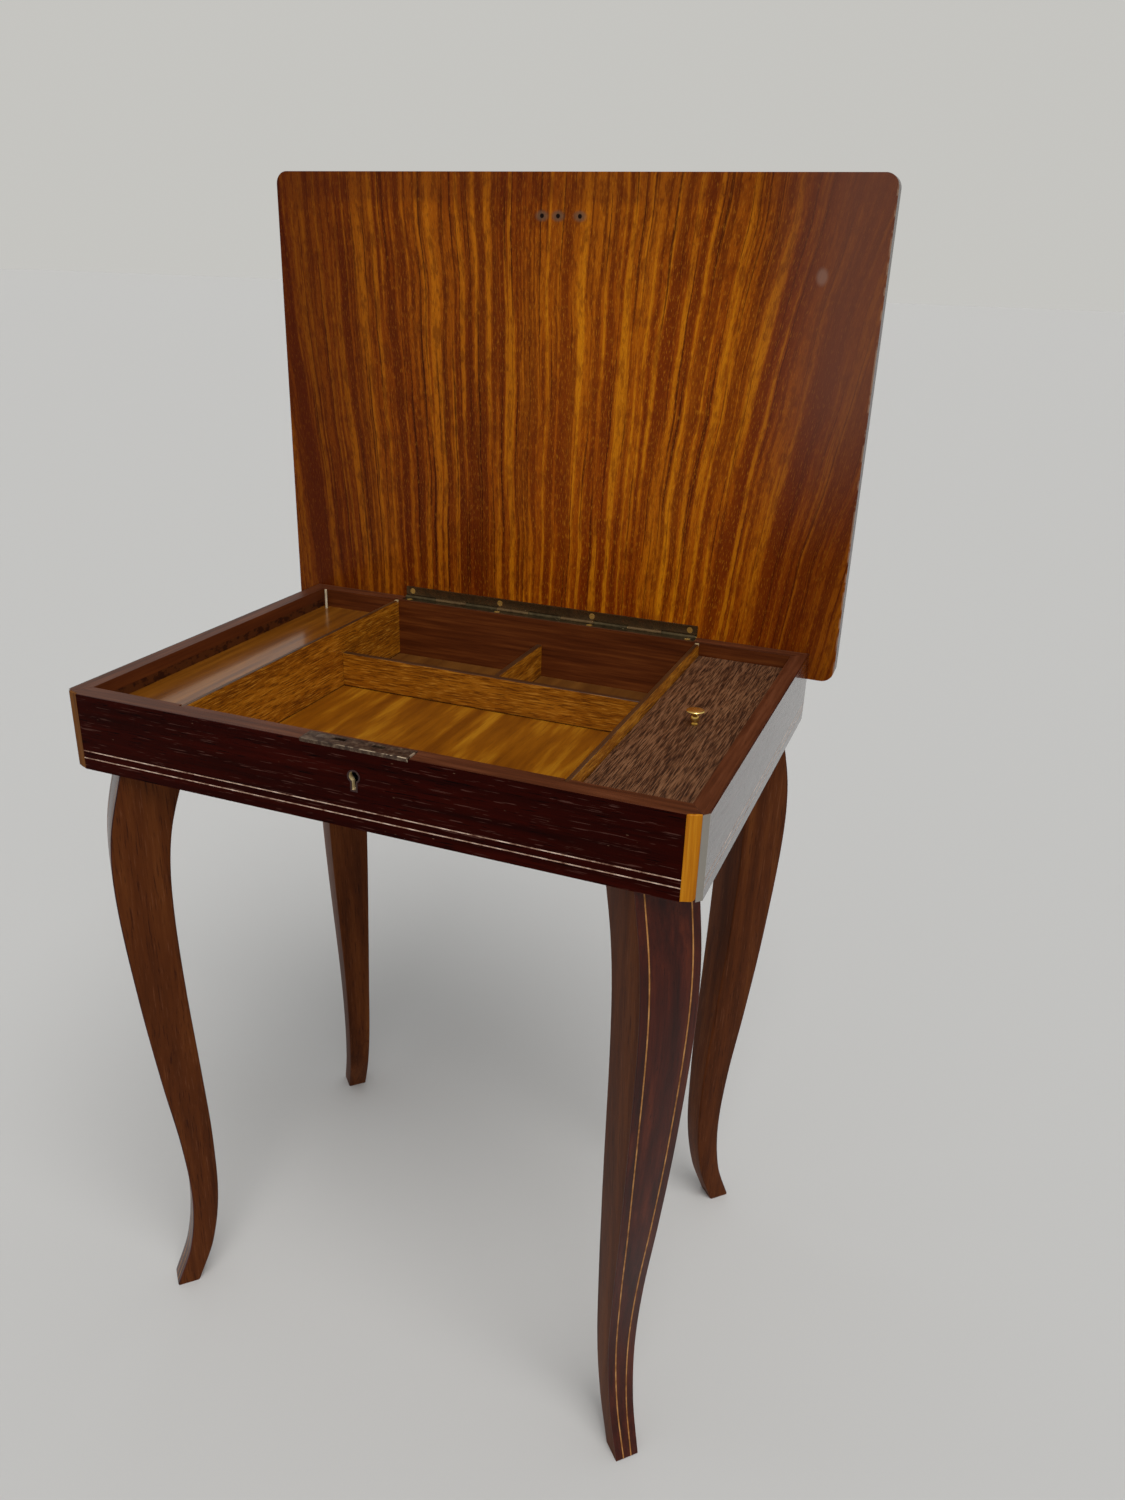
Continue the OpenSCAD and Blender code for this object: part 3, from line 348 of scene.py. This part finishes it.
def ribbon_sapele():
    """Lid lining: fine upright ribbons that fan out upwards, orange and red-brown, with painted shade towards
    the sides and a painted pool of light in the middle.
    """
    w = Finish("ribbon_sapele", roughness=0.4, coat=0.03, coat_roughness=0.15, specular=0.04)
    lean = w.range(w.axes[0], -0.1, 0.1, 0.45, 0.85)
    rise = w.math("MULTIPLY", w.math("SUBTRACT", w.axes[2], LID_LOW.z), lean)
    sway = w.math("MULTIPLY", w.math("SUBTRACT", w.noise((10, 1, 9), detail=2), 0.5), 0.012)
    narrowed = w.math("ADD", w.math("MULTIPLY", w.axes[0], w.math("SUBTRACT", 1.12, rise)), sway)
    fan = w.node("ShaderNodeCombineXYZ", {0: narrowed, 2: w.axes[2]}).outputs[0]
    broad = w.noise((34, 1, 3), detail=2, rough=0.5, source=fan)
    ribbon = w.noise((165, 1, 2.4), detail=2, rough=0.55, source=fan)
    thin = w.noise((420, 1, 4), detail=2, rough=0.6, source=fan)
    mottle = w.noise((220, 1, 60), detail=3, rough=0.6, source=fan)
    pores = w.noise((1700, 1, 200), detail=2, rough=0.6, source=fan)
    color = w.ramp(broad, (0.34, srgb(114, 44, 3)), (0.5, srgb(142, 66, 4)), (0.66, srgb(168, 88, 8)))
    color = w.mix(w.range(ribbon, 0.5, 0.43, 0.0, 0.62), color, srgb(82, 24, 2))
    color = w.mix(w.range(ribbon, 0.53, 0.62, 0.0, 0.5), color, srgb(206, 120, 14))
    color = w.mix(w.range(mottle, 0.53, 0.4, 0.0, 0.5), color, srgb(88, 32, 3))
    color = w.mix(w.range(thin, 0.43, 0.34, 0.0, 0.75), color, srgb(52, 14, 2))
    color = w.mix(w.range(pores, 0.45, 0.35, 0.0, 0.45), color, srgb(70, 24, 3))
    color = w.mix(w.range(pores, 0.56, 0.66, 0.0, 0.35), color, srgb(206, 128, 32))
    # painted shade towards both sides of the lining
    side = w.math("ABSOLUTE", w.axes[0])
    color = w.mix(w.range(side, 0.1, 0.225, 0.0, 0.6), color, srgb(72, 22, 3))
    top = w.range(w.axes[2], LID_HIGH.z - 24 * MM, LID_HIGH.z - 16 * MM, 0.0, 0.3)
    color = w.mix(top, color, srgb(80, 28, 8))
    lit = w.math("MULTIPLY", w.range(w.axes[0], -0.09, 0.03), w.range(w.axes[0], 0.15, 0.22, 1.0, 0.4))
    lit = w.math("MULTIPLY", lit, w.range(w.axes[2], 0.72, 0.81, 0.65, 0.2))
    color = w.mix(lit, color, srgb(255, 255, 200), "SOFT_LIGHT")
    # painted reflection: a pale pinkish-grey sheen over the upper right of the lining
    painted_sheen = w.math("MULTIPLY", w.range(w.axes[0], 0.14, 0.21), w.range(w.axes[2], 0.58, 0.72))
    color = w.mix(w.math("MULTIPLY", painted_sheen, 0.55), color, srgb(124, 82, 66))
    for x in HOLE_XS:
        stain = w.near((x, UNDER_Y, HOLE_Z), HOLE_STAIN_R, 0.6, (1, 0, 1.4))
        color = w.mix(w.math("MULTIPLY", stain, 0.7), color, srgb(104, 84, 66))
        hole = w.near((x, UNDER_Y, HOLE_Z), HOLE_R, 0.3, (1, 0, 1))
        color = w.mix(hole, color, srgb(24, 12, 8))
    scuff = w.near(SCUFF_AT, SCUFF_R, 0.6, (1, 0, 0.7))
    color = w.mix(w.math("MULTIPLY", scuff, 0.55), color, srgb(150, 116, 100))
    # pale right edge: partly real wear, partly a painted highlight along it
    edge = w.range(w.axes[0], LID_HIGH.x - 1.2 * MM, LID_HIGH.x - 0.6 * MM)
    patches = w.range(w.noise((40, 1, 90), detail=3), 0.42, 0.52)
    worn_edge_glint = w.math("MULTIPLY", edge, patches)
    color = w.mix(w.math("MULTIPLY", worn_edge_glint, 0.6), color, srgb(168, 140, 116))
    w.bump(pores, 0.00006)
    return w.done(color)


# ---- metals and others ----


def aged_brass(name, dark, light, roughness, metallic=0.9):
    """Brass with stains that dull it in places, and fine scratches."""
    w = Finish(name, roughness=roughness, metallic=metallic)
    stain = w.noise((180, 180, 180), detail=4, rough=0.65)
    scratch = w.noise((60, 1500, 1500), detail=2)
    w.bump(scratch, 0.00003)
    dull = w.range(stain, 0.3, 0.7, roughness + 0.15, roughness - 0.1)
    return w.done(w.ramp(stain, (0.35, dark), (0.65, light)), dull)


def steel():
    """Plain grey steel of the leg bolts and nuts, the lock case and the comb."""
    w = Finish("steel", roughness=0.4, metallic=1.0)
    return w.done(w.ramp(w.noise((300, 300, 300)), (0.3, (0.32, 0.32, 0.33)), (0.7, (0.5, 0.5, 0.5))))


def hinge_case_brass():
    """Dark tarnished leaf with a painted highlight: a bright line along its front edge."""
    w = Finish("hinge_case_brass", roughness=0.28, metallic=0.8)
    stain = w.noise((180, 180, 180), detail=4, rough=0.65)
    color = w.ramp(stain, (0.35, srgb(58, 48, 30)), (0.65, srgb(92, 78, 52)))
    # painted highlight: a bright line along the leaf's front edge, broken into patches
    edge = w.range(w.axes[1], HINGE_FRONT_Y + 0.5 * MM, HINGE_FRONT_Y + 0.9 * MM, 1.0, 0.0)
    painted_highlight = w.range(w.noise((70, 70, 70), detail=3), 0.4, 0.5)
    return w.done(w.mix(w.math("MULTIPLY", edge, painted_highlight), color, srgb(214, 200, 160)))


def plate_brass():
    """Dull brown lock plate, with a painted highlight along its front edge and at its right end."""
    w = Finish("plate_brass", roughness=0.42, metallic=0.6)
    stain = w.noise((260, 260, 260), detail=4, rough=0.7)
    color = w.ramp(stain, (0.34, srgb(46, 30, 20)), (0.5, srgb(78, 58, 44)), (0.66, srgb(118, 98, 78)))
    # painted highlight along the front edge and the right end, broken into patches and strongest at the right
    front = w.range(w.axes[1], PLATE_FRONT_Y + 0.3 * MM, PLATE_FRONT_Y + 0.7 * MM, 1.0, 0.0)
    front = w.math("MULTIPLY", front, w.range(w.axes[2], RIM_Z + 0.4 * MM, RIM_Z + 0.7 * MM))
    end = w.range(w.axes[0], PLATE_END_X - 1.4 * MM, PLATE_END_X - 0.8 * MM)
    patches = w.range(w.noise((130, 130, 130), detail=4), 0.47, 0.54)
    painted_highlight = w.math("MULTIPLY", w.math("MAXIMUM", front, end), patches)
    painted_highlight = w.math("MULTIPLY", painted_highlight, w.range(w.axes[0], -0.03, 0.015, 0.2, 1.0))
    return w.done(w.mix(painted_highlight, color, srgb(184, 164, 138)))


def knob_brass():
    """Polished yellow brass."""
    w = Finish("knob_brass", roughness=0.24, metallic=0.9)
    return w.done(w.ramp(w.noise((60, 60, 60)), (0.35, srgb(198, 152, 62)), (0.65, srgb(238, 204, 122))))


def cream_wire():
    """Wire with a pale worn skin."""
    w = Finish("cream_wire", roughness=0.45, specular=0.3)
    return w.done(w.ramp(w.noise((200, 200, 200)), (0.3, srgb(186, 168, 132)), (0.7, srgb(222, 208, 178))))


def liner_brass():
    """Keyhole liner, tarnished dark on its front ring, with painted light on its left inner wall and painted
    shade on the rest of its inner wall.
    """
    w = Finish("liner_brass", roughness=0.45, metallic=0.1)
    stain = w.noise((300, 300, 300), detail=3)
    # painted light on the left inner wall, fading to painted shade towards the right
    pale = w.ramp(stain, (0.3, srgb(206, 172, 104)), (0.7, srgb(250, 232, 190)))
    left = w.range(w.axes[0], 0.5 * MM, 1.6 * MM, 1.0, 0.25)
    wall = w.mix(left, srgb(70, 44, 22), pale)
    front = w.range(w.axes[1], FRONT_Y + 0.1 * MM, FRONT_Y + 0.3 * MM, 1.0, 0.0)
    return w.done(w.mix(front, wall, srgb(48, 12, 6)))


MATERIALS = {
    "case_rosewood_x": rosewood("case_rosewood_x", 0, 0.0, 0.02),
    "case_rosewood_y": rosewood("case_rosewood_y", 1, 0.9, 0.3),
    "lid_rosewood": rosewood("lid_rosewood", 0, 0.3, 0.2),
    "leg_veneer": leg_veneer(),
    "mahogany": mahogany(),
    "rim_x": rim("rim_x", 0, plain_wall),
    "rim_y": rim("rim_y", 1, plain_wall),
    "rim_tray": rim("rim_tray", 1, tray_wall),
    "satinwood": satinwood("satinwood", srgb(160, 92, 8), srgb(186, 114, 12), srgb(206, 138, 28), 0.04, 0.08),
    # painted shade: a darker copy of the satinwood for the left corner strip, which stands in shade
    "shaded_satinwood": satinwood(
        "shaded_satinwood", srgb(92, 52, 12), srgb(114, 66, 16), srgb(134, 84, 26), 0.0, 0.02
    ),
    "case_line": maple_line("case_line", srgb(104, 68, 54), srgb(172, 138, 116), srgb(234, 206, 186)),
    "leg_line": maple_line("leg_line", srgb(120, 76, 36), srgb(158, 106, 54), srgb(190, 138, 82)),
    "oak_y": oak("oak_y", 1, DIVIDER_Z),
    "oak_cross": oak("oak_cross", 0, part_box("divider_cross")[1].z),
    "oak_small": oak("oak_small", 1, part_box("divider_small")[1].z),
    "tray_varnish": tray_varnish(),
    "golden_floor": golden_floor(),
    "pine": pine(),
    "wenge": wenge(),
    "ribbon_sapele": ribbon_sapele(),
    "aged_brass": aged_brass("aged_brass", srgb(66, 50, 36), srgb(110, 90, 66), 0.5),
    "hinge_case_brass": hinge_case_brass(),
    "hinge_brass": aged_brass("hinge_brass", srgb(78, 58, 36), srgb(118, 94, 62), 0.3, 0.8),
    "plate_brass": plate_brass(),
    "liner_brass": liner_brass(),
    "bright_brass": aged_brass("bright_brass", srgb(190, 146, 62), srgb(238, 200, 116), 0.24, 0.7),
    "cream_wire": cream_wire(),
    "knob_brass": knob_brass(),
    "steel": steel(),
}

NODE_MATERIAL = {
    "veneer_front": "case_rosewood_x",
    # the left corner strip takes the darker copy with painted shade
    "corner_strip_left": "shaded_satinwood",
    "veneer_left": "case_rosewood_y",
    "veneer_right": "case_rosewood_y",
    "rail_left": "rim_tray",
    "rail_right": "rim_y",
    "divider_left": "oak_y",
    "divider_right": "oak_y",
    "divider_cross": "oak_cross",
    "divider_small": "oak_small",
    "tray_floor": "tray_varnish",
    "lid_veneer": "lid_rosewood",
    "lid_lipping": "lid_rosewood",
    "hinge_leaf_case": "hinge_case_brass",
    "stringing_front": "case_line",
    "stringing_left": "case_line",
    "stringing_right": "case_line",
    "stop_rod": "cream_wire",
    "knob": "knob_brass",
    "keyhole_liner": "liner_brass",
    "lock_plate": "plate_brass",
    "lock_screws": "plate_brass",
    "hinge_leaf_lid": "hinge_brass",
    "hinge_pin": "bright_brass",
}
SLOT_MATERIAL = {
    "rosewood_veneer": "leg_veneer",
    "red_mahogany": "mahogany",
    "rim_wood": "rim_x",
    "satinwood": "satinwood",
    "maple_line": "leg_line",
    "golden_floor": "golden_floor",
    "pine": "pine",
    "wenge": "wenge",
    "ribbon_sapele": "ribbon_sapele",
    "aged_brass": "aged_brass",
    "bright_brass": "bright_brass",
    "steel": "steel",
}
SLOT_OF = {part["node"]: part["material_slot"] for part in frame["record"]["subparts"]}


def material_of(node):
    """A node's own finish, or else that of its material slot."""
    return MATERIALS[NODE_MATERIAL.get(node) or SLOT_MATERIAL[SLOT_OF[node]]]


def paint_frame():
    """Gives every CAD node its finish."""
    for node, obj in NODES.items():
        obj.data.materials.clear()
        obj.data.materials.append(material_of(node))


# ---- pieces ----


def piece(name, mesh, node):
    """A new mesh that rides on its CAD node's body and stands for that node."""
    obj = bpy.data.objects.new(name, mesh)
    bpy.context.scene.collection.objects.link(obj)
    mesh.materials.clear()
    mesh.materials.append(material_of(node))
    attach(obj, BODY_OF[node])
    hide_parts(node)
    return obj


def soften(node, width):
    """A copy of a CAD node with its sharp edges rounded."""
    made = bmesh.new()
    made.from_mesh(NODES[node].data)
    bmesh.ops.remove_doubles(made, verts=made.verts, dist=1e-7)
    bmesh.ops.dissolve_limit(made, angle_limit=0.002, verts=made.verts, edges=made.edges)
    mesh = bpy.data.meshes.new("soft_" + node)
    made.to_mesh(mesh)
    made.free()
    obj = piece("soft_" + node, mesh, node)
    bevel = obj.modifiers.new("edge", "BEVEL")
    bevel.width = width
    bevel.segments = 2
    bevel.limit_method = "ANGLE"
    bevel.angle_limit = math.radians(BEVEL_FROM)
    bevel.use_clamp_overlap = True
    bevel.harden_normals = False
    smooth(mesh, SHARP_FRAME)


def smooth(mesh, degrees):
    """Shades a mesh smooth, apart from edges sharper than an angle."""
    mesh.shade_smooth()
    mesh.set_sharp_from_angle(angle=math.radians(degrees))


# ---- legs ----

# a leg's outer face along the diagonal, its thickness and its width, in mm at shares of its height
LEG_OUT = (
    (0, 0),
    (0.08, -13.3),
    (0.18, -19),
    (0.3, -16.34),
    (0.45, -7.98),
    (0.62, 0),
    (0.8, 5.5),
    (0.9, 3.3),
    (1, -7.6),
)
LEG_THICK = ((0, 17.5), (0.1, 18.22), (0.25, 21.82), (0.45, 29.02), (0.7, 34.54), (1, 41.5))
LEG_WIDE = ((0, 17), (0.12, 19.16), (0.3, 22.76), (0.6, 33.08), (1, 41))
LEG_STEPS = 128
LEG_FACE_T = 0.8

# the share of the height at which the face veneer and its lines begin, just over the floor
SKIN_START = 0.0022

# radii of the leg's arrises and the lines' place in the face, in mm
ARRIS_STEPS = 4
HIDDEN_ARRIS_R = 0.05
BACK_ARRIS_R = 1.6
FRONT_ARRIS_R = 0.6
LINE_INSET = 5.6
LINE_W = 0.9
LINE_SUNK = 0.4
LINE_PROUD = 0.03


def along(knots, u):
    """A smooth curve through knots, the same one the frame's legs follow."""
    i = 0
    while i < len(knots) - 2 and u >= knots[i + 1][0]:
        i += 1

    def tangent(k):
        a, b = knots[max(k - 1, 0)], knots[min(k + 1, len(knots) - 1)]
        return (b[1] - a[1]) / (b[0] - a[0])

    h = knots[i + 1][0] - knots[i][0]
    s = (u - knots[i][0]) / h
    a, b, ta, tb = knots[i][1], knots[i + 1][1], tangent(i) * h, tangent(i + 1) * h
    return (
        a * (1 + 2 * s) * (1 - s) ** 2
        + ta * s * (1 - s) ** 2
        + b * s * s * (3 - 2 * s)
        - tb * s * s * (1 - s)
    )


def swept(name, section, corner, start=0.0):
    """A closed bar: the section's face at the foot, extruded up the leg and reshaped at each step."""
    sx, sy = corner
    turn = Matrix.Rotation(math.atan2(sy, sx), 4, "Z")
    place = Matrix.Translation((sx * FOOT_X, CASE_MID_Y + sy * FOOT_Y, 0)) @ turn
    made = bmesh.new()
    end = made.faces.new([made.verts.new((x * MM, y * MM, start * LEG_H)) for x, y in section(start)])
    for step in range(1, LEG_STEPS + 1):
        u = start + (1 - start) * step / LEG_STEPS
        grown = bmesh.ops.extrude_face_region(made, geom=[end, *end.edges, *end.verts])["geom"]
        end = next(item for item in grown if isinstance(item, bmesh.types.BMFace))
        for vert, (x, y) in zip(end.verts, section(u)):
            vert.co = (x * MM, y * MM, u * LEG_H)
    bmesh.ops.transform(made, matrix=place, verts=made.verts)
    bmesh.ops.recalc_face_normals(made, faces=made.faces)
    mesh = bpy.data.meshes.new(name)
    made.to_mesh(mesh)
    made.free()
    smooth(mesh, SHARP_LEG)
    return mesh


def rounded(x0, x1, half, r_back, r_front):
    """A rectangle's outline, counter-clockwise, with rounded back and front corners."""
    points = []
    for cx, cy, r, start in (
        (x1 - r_front, half - r_front, r_front, 0),
        (x0 + r_back, half - r_back, r_back, 90),
        (x0 + r_back, -half + r_back, r_back, 180),
        (x1 - r_front, -half + r_front, r_front, 270),
    ):
        for k in range(ARRIS_STEPS + 1):
            a = math.radians(start + 90 * k / ARRIS_STEPS)
            points.append((cx + r * math.cos(a), cy + r * math.sin(a)))
    return points


def leg_section(u):
    """The leg's wood behind its face veneer."""
    out, thick, wide = along(LEG_OUT, u), along(LEG_THICK, u), along(LEG_WIDE, u)
    return rounded(out - thick, out - LEG_FACE_T, wide / 2, BACK_ARRIS_R, HIDDEN_ARRIS_R)


def face_section(u):
    """The veneer on the leg's outer face."""
    out, wide = along(LEG_OUT, u), along(LEG_WIDE, u)
    return rounded(out - LEG_FACE_T, out, wide / 2, HIDDEN_ARRIS_R, FRONT_ARRIS_R)


def line_section(side):
    """One inlaid line, let into the face veneer beside its edge."""

    def section(u):
        out, wide = along(LEG_OUT, u), along(LEG_WIDE, u)
        mid = side * (wide / 2 - LINE_INSET)
        return [
            (out - LINE_SUNK, mid - LINE_W / 2),
            (out + LINE_PROUD, mid - LINE_W / 2),
            (out + LINE_PROUD, mid + LINE_W / 2),
            (out - LINE_SUNK, mid + LINE_W / 2),
        ]

    return section


def legs():
    """Each leg: its wood, its face veneer and two inlaid lines."""
    for name, corner in (
        ("front_left", (-1, -1)),
        ("front_right", (1, -1)),
        ("back_left", (-1, 1)),
        ("back_right", (1, 1)),
    ):
        piece("leg_wood_" + name, swept("leg_wood_" + name, leg_section, corner), "leg_" + name)
        face = swept("leg_skin_" + name, face_section, corner, SKIN_START)
        piece("leg_skin_" + name, face, "leg_face_" + name)
        for side, word in ((-1, "right"), (1, "left")):
            mesh = swept("leg_line_" + word + "_" + name, line_section(side), corner, SKIN_START)
            piece(mesh.name, mesh, "leg_lines_" + name)


# ---- knob, case and lid ----

# the knob's turned outline, as (radius, height over the panel) in mm; the ball is cut off where it has turned
# KNOB_BALL_REACH degrees above and below its middle
KNOB_TENON_R = 1.6
KNOB_COLLAR = ((2.3, 0.05), (2.3, 0.8), (1.7, 1.3))
KNOB_BALL_R = 3.0
KNOB_BALL_Z = 4.3
KNOB_BALL_REACH = 60
KNOB_BALL_STEPS = 12
KNOB_WAIST = ((1.3, 7.2), (1.5, 8.0))
KNOB_TURNS = 48

# how far each piece's sharp edges are rounded, in mm
EDGE_ROUNDING = {
    "rail_front": 0.35,
    "rail_back": 0.35,
    "rail_left": 0.35,
    "rail_right": 0.35,
    "divider_left": 0.4,
    "divider_right": 0.4,
    "divider_cross": 0.5,
    "divider_small": 0.5,
    "lift_panel": 0.6,
    "lid_lining": 0.3,
    "lid_veneer": 0.3,
    "corner_strip_left": 0.25,
    "corner_strip_right": 0.25,
    "lock_plate": 0.25,
    "hinge_leaf_case": 0.15,
    "hinge_leaf_lid": 0.15,
}
ROUND_NODES = ("stop_rod", "movement_cylinder", "keyhole_liner", "hinge_pin")


def knob_outline(foot, head, top):
    """From the tenon's foot through collar, ball, waist and lens-shaped head to the middle of the top."""
    outline = [(0, foot), (KNOB_TENON_R, foot), (KNOB_TENON_R, 0), *KNOB_COLLAR]
    for k in range(KNOB_BALL_STEPS + 1):
        a = math.radians(KNOB_BALL_REACH * (2 * k / KNOB_BALL_STEPS - 1))
        outline.append((KNOB_BALL_R * math.cos(a), KNOB_BALL_Z + KNOB_BALL_R * math.sin(a)))
    outline += KNOB_WAIST
    outline += [(head * 0.6, 8.5), (head - 0.5, 9.1), (head - 0.1, 9.5), (head, 9.7), (head - 0.15, 9.95)]
    outline += [(head * 0.8, 10.35), (head * 0.5, top - 0.2), (head * 0.25, top), (0, top)]
    return outline


def knob():
    """Turned knob on a tenon through the panel, spun from its outline."""
    low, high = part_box("knob")
    center = (low + high) / 2
    outline = knob_outline((low.z - PANEL_Z) / MM, (high.x - low.x) / 2 / MM, (high.z - PANEL_Z) / MM)
    made = bmesh.new()
    points = [made.verts.new((r * MM, 0, z * MM)) for r, z in outline]
    edges = [made.edges.new(pair) for pair in zip(points, points[1:])]
    bmesh.ops.spin(
        made,
        geom=points + edges,
        cent=(0, 0, 0),
        axis=(0, 0, 1),
        angle=math.tau,
        steps=KNOB_TURNS,
        use_merge=True,
    )
    bmesh.ops.remove_doubles(made, verts=made.verts, dist=1e-6)
    bmesh.ops.recalc_face_normals(made, faces=made.faces)
    bmesh.ops.translate(made, vec=(center.x, center.y, PANEL_Z), verts=made.verts)
    mesh = bpy.data.meshes.new("turned_knob")
    made.to_mesh(mesh)
    made.free()
    smooth(mesh, SHARP_KNOB)
    piece("turned_knob", mesh, "knob")


def softened_pieces():
    """Rounds the sharp edges of the case and lid, and shades the turned CAD pieces smooth."""
    for node, width in EDGE_ROUNDING.items():
        soften(node, width * MM)
    for node in ROUND_NODES:
        smooth(NODES[node].data, SHARP_FRAME)


# ---- room, light and camera ----

FLOOR_SIZE = 80
FLOOR_COLOR = (0.62, 0.61, 0.59)
BACKDROP_COLOR = (0.56, 0.555, 0.53, 1)
AMBIENT_COLOR = (0.96, 0.98, 1.0, 1)
AMBIENT_STRENGTH = 0.5

# each sun: where it shines from, its strength and its spread in degrees
KEY_SUN = ((0.45, -0.5, 1.1), 1.5, 38)
GLINT_SUN = ((0.25, -0.35, 1.1), 3.0, 9)

# where the camera stands in metres, its three turns in degrees, its lens and sensor in mm
CAMERA_AT = (0.32347, CASE_MID_Y - 0.66212, 0.77521)
CAMERA_YAW = 21.124
CAMERA_PITCH = 23.192
CAMERA_ROLL = 1.818
CAMERA_LENS = 26.936
CAMERA_SHIFT = (0.0067, -0.0016)
CAMERA_SENSOR = 36


def room():
    """A plain pale floor and even surroundings; the camera and reflections see the backdrop's colour."""
    bpy.ops.mesh.primitive_plane_add(size=FLOOR_SIZE, location=(0, 0, 0))
    floor = bpy.context.object
    floor.name = "floor"
    w = Finish("floor_pale", roughness=0.6, specular=0.2)
    floor.data.materials.append(w.done(FLOOR_COLOR))
    world = bpy.data.worlds.new("room")
    world.use_nodes = True
    bpy.context.scene.world = world
    tree = world.node_tree
    tree.nodes.clear()
    path = tree.nodes.new("ShaderNodeLightPath")
    seen = tree.nodes.new("ShaderNodeMath")
    seen.operation = "MAXIMUM"
    tree.links.new(path.outputs["Is Camera Ray"], seen.inputs[0])
    both = tree.nodes.new("ShaderNodeMath")
    both.operation = "MAXIMUM"
    tree.links.new(path.outputs["Is Glossy Ray"], both.inputs[0])
    tree.links.new(path.outputs["Is Transmission Ray"], both.inputs[1])
    tree.links.new(both.outputs[0], seen.inputs[1])
    backdrop = tree.nodes.new("ShaderNodeBackground")
    backdrop.inputs[0].default_value = BACKDROP_COLOR
    backdrop.inputs[1].default_value = 1.0
    ambient = tree.nodes.new("ShaderNodeBackground")
    ambient.inputs[0].default_value = AMBIENT_COLOR
    ambient.inputs[1].default_value = AMBIENT_STRENGTH
    join = tree.nodes.new("ShaderNodeMixShader")
    out = tree.nodes.new("ShaderNodeOutputWorld")
    tree.links.new(seen.outputs[0], join.inputs[0])
    tree.links.new(ambient.outputs[0], join.inputs[1])
    tree.links.new(backdrop.outputs[0], join.inputs[2])
    tree.links.new(join.outputs[0], out.inputs[0])


def sun(name, source, strength, spread):
    """A sun lamp that shines from the direction of a point."""
    data = bpy.data.lights.new(name, "SUN")
    data.energy = strength
    data.angle = math.radians(spread)
    lamp = bpy.data.objects.new(name, data)
    bpy.context.scene.collection.objects.link(lamp)
    lamp.rotation_mode = "QUATERNION"
    lamp.rotation_quaternion = Vector(source).to_track_quat("Z", "Y")
    return lamp


def lights():
    """A broad key light that metal and gloss don't show, and a small one that only they show."""
    key = sun("key", *KEY_SUN)
    key.visible_glossy = False
    glint = sun("glint", *GLINT_SUN)
    glint.visible_diffuse = False


def camera():
    """In front of the table and to its right, between the open lid's middle and its top."""
    yaw, pitch, roll = (math.radians(v) for v in (CAMERA_YAW, CAMERA_PITCH, CAMERA_ROLL))
    forward = Vector((-math.sin(yaw) * math.cos(pitch), math.cos(yaw) * math.cos(pitch), -math.sin(pitch)))
    level = Vector((math.cos(yaw), math.sin(yaw), 0))
    up = level.cross(forward)
    right = level * math.cos(roll) + up * math.sin(roll)
    up = up * math.cos(roll) - level * math.sin(roll)
    data = bpy.data.cameras.new("camera")
    data.sensor_width = CAMERA_SENSOR
    data.lens = CAMERA_LENS
    data.shift_x, data.shift_y = CAMERA_SHIFT
    data.clip_start, data.clip_end = 0.05, 50
    obj = bpy.data.objects.new("camera", data)
    bpy.context.scene.collection.objects.link(obj)
    obj.rotation_mode = "QUATERNION"
    turn = Matrix((right, up, -forward)).transposed()
    obj.rotation_quaternion = turn.to_quaternion()
    obj.location = CAMERA_AT
    bpy.context.scene.camera = obj


paint_frame()
softened_pieces()
knob()
legs()
room()
lights()
camera()
bpy.context.scene.view_settings.view_transform = "Standard"
